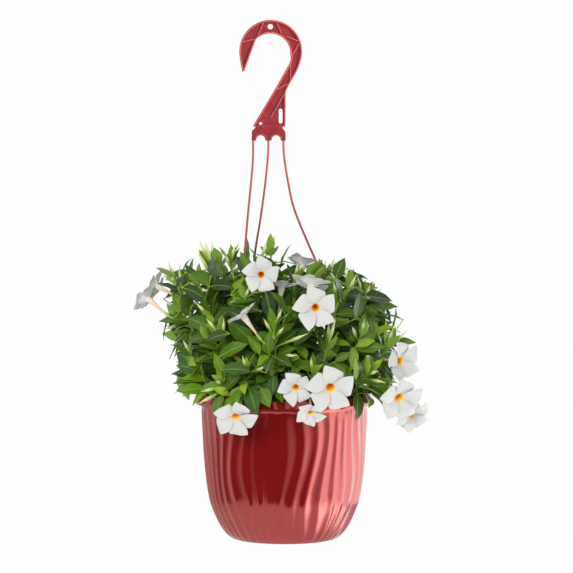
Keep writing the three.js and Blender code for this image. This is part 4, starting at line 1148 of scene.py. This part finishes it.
# Then pairs of leaves between those of the solids, and two small young leaves at each tip
PAIR_TRIES = 8
for shoot in shoots:
    for step in range(shoot["pairs"] + 1):
        at_tip = step == shoot["pairs"]
        height = 1 if at_tip else max(-0.1, (step - 0.5) / (shoot["pairs"] - 1))
        along = 0.995 if at_tip else FIRST_PAIR + (LAST_PAIR - FIRST_PAIR) * height
        root, *ways = stem_frame(shoot, along)
        for side in (0, 1):
            for attempt in range(PAIR_TRIES):
                key = PAIR_KEYS + shoot["index"] * 1000 + step * 100 + side * 50 + attempt
                turn = (step - 0.5) * math.pi / 2 + side * math.pi + spread(0.3 + 0.2 * attempt, key, 84)
                lift = math.radians(40 * max(0, height) + 18 * at_tip) + spread(0.3, key, 85)
                direction = leaving(*ways, turn, lift) + np.array([0, 0, 0.08])
                length = shoot["leaf"] * (1.0 - 0.3 * max(0, height) - 0.2 * at_tip) * (
                    1 + spread(0.12, key, 86)) * (1 - 0.03 * attempt)
                width = length * (0.43 - 0.08 * max(0, height) - 0.06 * at_tip + spread(0.03, key, 87))
                arch = 0.42 - 0.22 * max(0, height) - 0.1 * at_tip + spread(0.08, key, 88)
                leaf = aim_leaf(root, ways[0], direction, length, width, arch, 0.4 * max(0, height), 1.1)
                age = 0.14 + 0.28 * max(0, height) + 0.3 * at_tip
                if try_leaf(shoot, leaf, key, age + spread(0.2, key, 89)):
                    break

# Old, dark leaves low on the stems close the inside of the crown
LOW_TRIES = 6
for shoot in shoots:
    for step, along in enumerate((0.16, 0.25, 0.33)):
        root, *ways = stem_frame(shoot, along)
        for side in (0, 1):
            for attempt in range(LOW_TRIES):
                key = LOW_KEYS + shoot["index"] * 100 + step * 20 + side * 10 + attempt
                turn = (step + 0.5) * math.pi / 2 + side * math.pi + spread(0.4 + 0.3 * attempt, key, 104)
                lift = math.radians(8) + spread(0.5, key, 105)
                direction = leaving(*ways, turn, lift)
                length = shoot["leaf"] * (1 + spread(0.12, key, 106)) * (1 - 0.03 * attempt)
                width = length * (0.44 + spread(0.04, key, 107))
                leaf = aim_leaf(root, ways[0], direction, length, width, 0.2, 0, 1.1)
                if try_leaf(shoot, leaf, key, 0.1 + spread(0.1, key, 108)):
                    break

# Then short side twigs with two pairs of leaves each
SIDE_TWIGS = 5
TWIG_TRIES = 7
for shoot in shoots:
    for number in range(SIDE_TWIGS):
        key = TWIG_KEYS + shoot["index"] * 1000 + number * 100
        along = 0.3 + 0.6 * (number + draw(key, 90)) / SIDE_TWIGS
        root, *ways = stem_frame(shoot, along)
        turn = 2.4 * number + spread(0.5, key, 91)
        lift = math.radians(34 + spread(16, key, 92))
        way = unit(leaving(*ways, turn, lift) + np.array([0, 0, 0.15]))
        reach = 16 + 26 * draw(key, 93)
        middle, end = root + way * 0.55 * reach, root + way * reach + np.array([0, 0, 0.06 * reach])
        first = unit(np.cross(way, [0.2, 0.3, 1]))
        second = np.cross(way, first)
        grown = 0
        for pair, base in enumerate((middle, end)):
            for side in (0, 1):
                for attempt in range(TWIG_TRIES):
                    leaf_key = key + 20 + pair * 30 + side * 12 + attempt
                    turn = pair * math.pi / 2 + side * math.pi + spread(0.3 + 0.2 * attempt, leaf_key, 94)
                    lift = math.radians(12 + 22 * pair) + spread(0.25 + 0.08 * attempt, leaf_key, 95)
                    direction = leaving(way, first, second, turn, lift) + np.array([0, 0, 0.1])
                    length = (50 - 9 * pair) * (1 + spread(0.14, leaf_key, 96)) * (1 - 0.04 * attempt)
                    width = length * (0.43 - 0.05 * pair + spread(0.04, leaf_key, 97))
                    leaf = aim_leaf(base, way, direction, length, width, 0.3 + spread(0.1, leaf_key, 98),
                                    0.3 + 0.3 * pair, 1.1)
                    if try_leaf(shoot, leaf, leaf_key, 0.26 + 0.26 * pair + spread(0.22, leaf_key, 99)):
                        grown = pair + 1
                        break
        if grown:
            twigs[shoot["index"]].append([root, middle, end][:grown + 1])

# Last, where daylight still shows through the crown from the front, the back or a side, an old leaf
# closes the gap. Rays look through the crown's width and height, and leaves near a ray on all its sides
# tell a gap from the open air.
CROWN_WIDTH = 315
CROWN_HEIGHT = 170
LOWEST_RAY = 4
NEAR = 9
BEYOND = 12
GAP_TRIES = 25
# The way each view looks, the way across it, and the distance from ray to ray. The last looks as the
# camera does.
VIEWS = [
    ((0, 1, 0), (1, 0, 0), 8.5), ((0, -1, 0), (1, 0, 0), 8.5), ((1, 0, 0), (0, 1, 0), 8.5),
    ((-1, 0, 0), (0, 1, 0), 8.5), ((0, math.cos(VIEW_DOWN), -math.sin(VIEW_DOWN)), (1, 0, 0), 4.25),
]
for view, (ahead, beside, pitch) in enumerate(VIEWS):
    ahead, beside = np.array(ahead, float), np.array(beside, float)
    skins = [leaf_points(leaf, test_across, test_along, leaf["key"])
             for group in leaves for leaf in group]
    all_points = np.vstack(skins)
    all_faces = np.vstack([test_faces + len(test_corners) * k for k in range(len(skins))])
    whole = BVHTree.FromPolygons(all_points.tolist(), all_faces.tolist())
    flat = np.stack([all_points @ beside, all_points[:, 2]], axis=1)
    fresh = []
    columns = round(CROWN_WIDTH / pitch)
    for cell in range(columns * round(CROWN_HEIGHT / pitch)):
        at = np.array([pitch * (cell % columns - columns // 2), LOWEST_RAY + pitch * (cell // columns)])
        off = flat - at
        level, plumb = np.abs(off[:, 1]) < NEAR, np.abs(off[:, 0]) < NEAR
        inside = [(level & (off[:, 0] < -BEYOND)).any(), (level & (off[:, 0] > BEYOND)).any(),
                  (plumb & (off[:, 1] > BEYOND)).any(),
                  at[1] < 20 or (plumb & (off[:, 1] < -BEYOND)).any()]
        if not all(inside):
            continue
        start = beside * at[0] + np.array([0, 0, at[1]]) - ahead * 300
        if any(grown.ray_cast(Vector(start), Vector(ahead))[0] for grown in [whole, *fresh]):
            continue
        for attempt in range(GAP_TRIES):
            key = GAP_KEYS + view * 24000 + cell * 30 + attempt
            deep = np.array([0, 0, at[1]]) + beside * at[0] + ahead * spread(10 + 5 * attempt, key, 118)
            slope = spread(1.3, key, 119)
            way = 1 if attempt % 2 else -1
            direction = beside * way * math.cos(slope) + ahead * spread(0.3, key, 120)
            direction[2] += math.sin(slope)
            if leaf_on_twig(deep, direction, key, 40 + spread(7, key, 121), 0.16 + spread(0.16, key, 122),
                            1.4):
                fresh.append(taken["trees"][-1])
                break


def leaf_veins(tree, strength):
    """How far a point is from the midrib, and how strong the arched side vein there is."""
    across, along = map_place(tree, "leaf_map")
    off_middle = reckon(tree, "ABSOLUTE", reckon(tree, "SUBTRACT", across, 0.5))
    ladder = reckon(tree, "PINGPONG", reckon(tree, "MULTIPLY_ADD", off_middle, -0.42, along), 0.0833)
    return off_middle, rescale(tree, ladder, 0.003, 0.014, strength, 0.0)


# The leaf's upper side: glossy, dark green on grown leaves and yellow-green on young ones, with a pale
# midrib and arched side veins 5 mm apart that are pressed into it. Its stalk is pale.
leaf_top, tree, shader = new_material("leaf_upper_side", "#2c5a18", 0.36, IOR=1.4, Coat_Weight=0.08)
age = add_node(tree, "ShaderNodeAttribute", attribute_name="tone")
green = colour_ramp(tree, age.outputs["Fac"], [
    (0, colour("#1d330d")), (0.3, colour("#31510f")), (0.6, colour("#5c8210")), (1, colour("#9cbb2a"))])
off_middle, side_vein = leaf_veins(tree, 0.3)
veins = reckon(tree, "MAXIMUM", rescale(tree, off_middle, 0.02, 0.05, 1.0, 0.0), side_vein)
uneven = rescale(tree, cloudy(tree, 8, 3), 0.3, 0.7, 0.86, 1.12)
mottled = blend(tree, 1.0, green, uneven, "MULTIPLY")
veined = blend(tree, reckon(tree, "MULTIPLY", veins, 0.34), mottled, colour("#9cc25c"))
tree.links.new(veined, shader.inputs["Base Color"])
emboss(tree, shader, veins, 0.6, 0.35, invert=True)

# The underside is a paler and more matt green, and its veins stand out
leaf_under, tree, shader = new_material("leaf_underside", "#7f9c58", 0.5)
age = add_node(tree, "ShaderNodeAttribute", attribute_name="tone")
green = colour_ramp(tree, age.outputs["Fac"], [(0, colour("#5f8433")), (1, colour("#94b93c"))])
side_vein = leaf_veins(tree, 0.4)[1]
veined = blend(tree, side_vein, green, colour("#b4c98a"))
tree.links.new(veined, shader.inputs["Base Color"])
emboss(tree, shader, side_vein, 0.6, 0.4)

# Stems and stalks are smooth and light green, and brown with bark low down where they are oldest
stem_skin, tree, shader = new_material("green_stem", "#7f9a3c", 0.45)
where = add_node(tree, "ShaderNodeTexCoord")
split = add_node(tree, "ShaderNodeSeparateXYZ", {"Vector": where.outputs["Object"]})
low = rescale(tree, split.outputs["Z"], -0.54, -0.43)
shade = colour_ramp(tree, low, [
    (0, colour("#5a4a2a")), (0.4, colour("#6f8434")), (1, colour("#8fb43c"))])
tree.links.new(shade, shader.inputs["Base Color"])
emboss(tree, shader, cloudy(tree, 3, 3), 0.35, 0.3)

# Buds are cream with a green tinge that deepens towards the calyx
bud_skin, tree, shader = new_material(
    "closed_bud", "#cfd39a", 0.45, Subsurface_Weight=0.1, Subsurface_Scale=0.001)
shade = colour_ramp(tree, map_place(tree, "leaf_map")[1], [
    (0.15, colour("#93b548")), (0.6, colour("#d3d896"))])
tree.links.new(shade, shader.inputs["Base Color"])
SHOOT_MATERIALS = (leaf_top, leaf_under, stem_skin, bud_skin)
STEM_NUMBER = 2
BUD_NUMBER = 3


def number_faces(piece, number):
    """Gives all faces of a piece the material of one number."""
    for face in piece.data.polygons:
        face.material_index = number
    return piece


LEAF_THICKNESS = 0.45
BUD_THICKNESS = 0.3
STALK_RADIUS = 1.05
CALYX_LENGTH = 6
leaf_corners, leaf_faces = grid_blank(6, 14)
lesser_corners, lesser_faces = grid_blank(4, 9)
round_corners, round_faces = grid_blank(15, 12)
cup_corners, cup_faces = grid_blank(20, 5)

for shoot in shoots:
    index = shoot["index"]
    shares = np.linspace(0, 1, 49)
    straight = np.array([stem_point(shoot, share) for share in shares])
    line = straight.copy()
    line[2:-2] = (straight[:-4] + straight[1:-3] + straight[2:-2] + straight[3:-1] + straight[4:]) / 5
    line[-1] = shoot["tip"]
    # The stem thins towards its tip and swells a little where each pair of leaves grows
    thick = STEM_RADIUS * (1 - 0.35 * shares)
    for pair in range(shoot["pairs"]):
        node_at = FIRST_PAIR + (LAST_PAIR - FIRST_PAIR) * pair / (shoot["pairs"] - 1)
        thick *= 1 + 0.22 * np.exp(-((shares - node_at) / 0.014) ** 2)
    lines = [(line, thick, 0)]
    for twig in twigs[index]:
        lines.append((twig, np.linspace(1.1, 0.75, len(twig)), 0))
    # Each leaf's stalk runs on under the blade as the midrib, and ends within its first third
    for leaf in leaves[index]:
        run = np.array([0, 0.04, 0.08, 0.14, 0.22, 0.32])
        rib_line = leaf_points(leaf, 0 * run, run, leaf["key"]) - np.outer(
            np.interp(run, [0, 0.08, 0.32], [0, 0.3, 0.25]), leaf["up"])
        lines.append((rib_line, np.array([0.95, 0.85, 0.85, 0.75, 0.55, 0.2]) * (leaf["length"] / 50), 0))
    cups = []
    buds = []
    # A bud is a twisted spindle on a short stalk, in a cup of five teeth, the calyx
    for bud_shoot, along, tip in BUDS:
        if bud_shoot != index:
            continue
        base, tip = stem_point(shoot, along), np.array(tip, float)
        axis, reach = unit(tip - base), np.linalg.norm(tip - base)
        seat = base + axis * 0.3 * reach
        lines.append(([base, base + axis * 0.15 * reach, seat], [1.1, 1, 1.05], 0))
        buds.append(turned_skin(seat, axis, [0.9, 1.7, 1.9, 2.3, 2.55, 2.4, 1.9, 1.3, 0.75, 0.3, 0.0],
                                np.linspace(0, 0.7 * reach, 11), round_corners, 0.09, 3.4))
        cups.append(turned_skin(seat, axis, [0.5, 1.5, 2.0, 2.15, 2.2], np.linspace(-1.2, 3.2, 5),
                                cup_corners, teeth=1.3))
    # The stalk of a bloom leaves the stem along it and bends over to the bloom's own calyx
    for bloom in blooms:
        if bloom["shoot"] != index:
            continue
        start, onward, _, _ = stem_frame(shoot, bloom["from"])
        aim = np.array(bloom["aim"])
        calyx = np.array(bloom["foot"]) - aim * CALYX_LENGTH
        reach = 0.4 * np.linalg.norm(start - calyx)
        bend = [start, start + onward * reach, calyx - aim * reach, calyx]
        lines.append(([bezier(bend, t) for t in np.linspace(0, 1, 19)], [STALK_RADIUS] * 19, 0))
        cups.append(turned_skin(calyx, aim, [0.9, 1.5, 2.3, 2.7, 2.9], np.linspace(-0.6, 5.6, 5),
                                cup_corners, teeth=1.5))
    stems = tube_lines(f"stems_{index + 1:02d}", lines, 8)
    stems.data.uv_layers.new(name="leaf_map")
    for material in SHOOT_MATERIALS:
        stems.data.materials.append(material)
    parts = [number_faces(stems, STEM_NUMBER)]
    # The leaves of the solids get a finer blade than those between them
    for group, corners, faces in [
        ([leaf for leaf in leaves[index] if leaf["key"] < PAIR_KEYS], leaf_corners, leaf_faces),
        ([leaf for leaf in leaves[index] if leaf["key"] >= PAIR_KEYS], lesser_corners, lesser_faces),
    ]:
        if group:
            skins = [leaf_points(leaf, 2 * corners[:, 0] - 1, 0.07 + 0.93 * corners[:, 1], leaf["key"])
                     for leaf in group]
            # A leaf's tone also falls with the height of its root: painted shade that darkens the top of
            # the crown
            tones = [leaf["tone"] + 0.22 - 0.0025 * leaf["root"][2] for leaf in group]
            parts.append(sheets("leaves", "leaf_map", skins, corners, faces, tones,
                                LEAF_THICKNESS, SHOOT_MATERIALS))
    if buds:
        closed = sheets("buds", "leaf_map", buds, round_corners, round_faces, [0.5] * len(buds),
                        BUD_THICKNESS, SHOOT_MATERIALS)
        parts.append(number_faces(closed, BUD_NUMBER))
    if cups:
        sepals = sheets("sepals", "leaf_map", cups, cup_corners, cup_faces, [0.5] * len(cups),
                        BUD_THICKNESS, SHOOT_MATERIALS)
        parts.append(number_faces(sepals, STEM_NUMBER))
    only(stems)
    for part in parts:
        part.select_set(True)
    bpy.ops.object.join()
    stems.name = f"leafy_shoot_{index + 1:02d}"
    finish(stems, angle=70)
    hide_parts(f"leafy_stem_{index + 1:02d}")
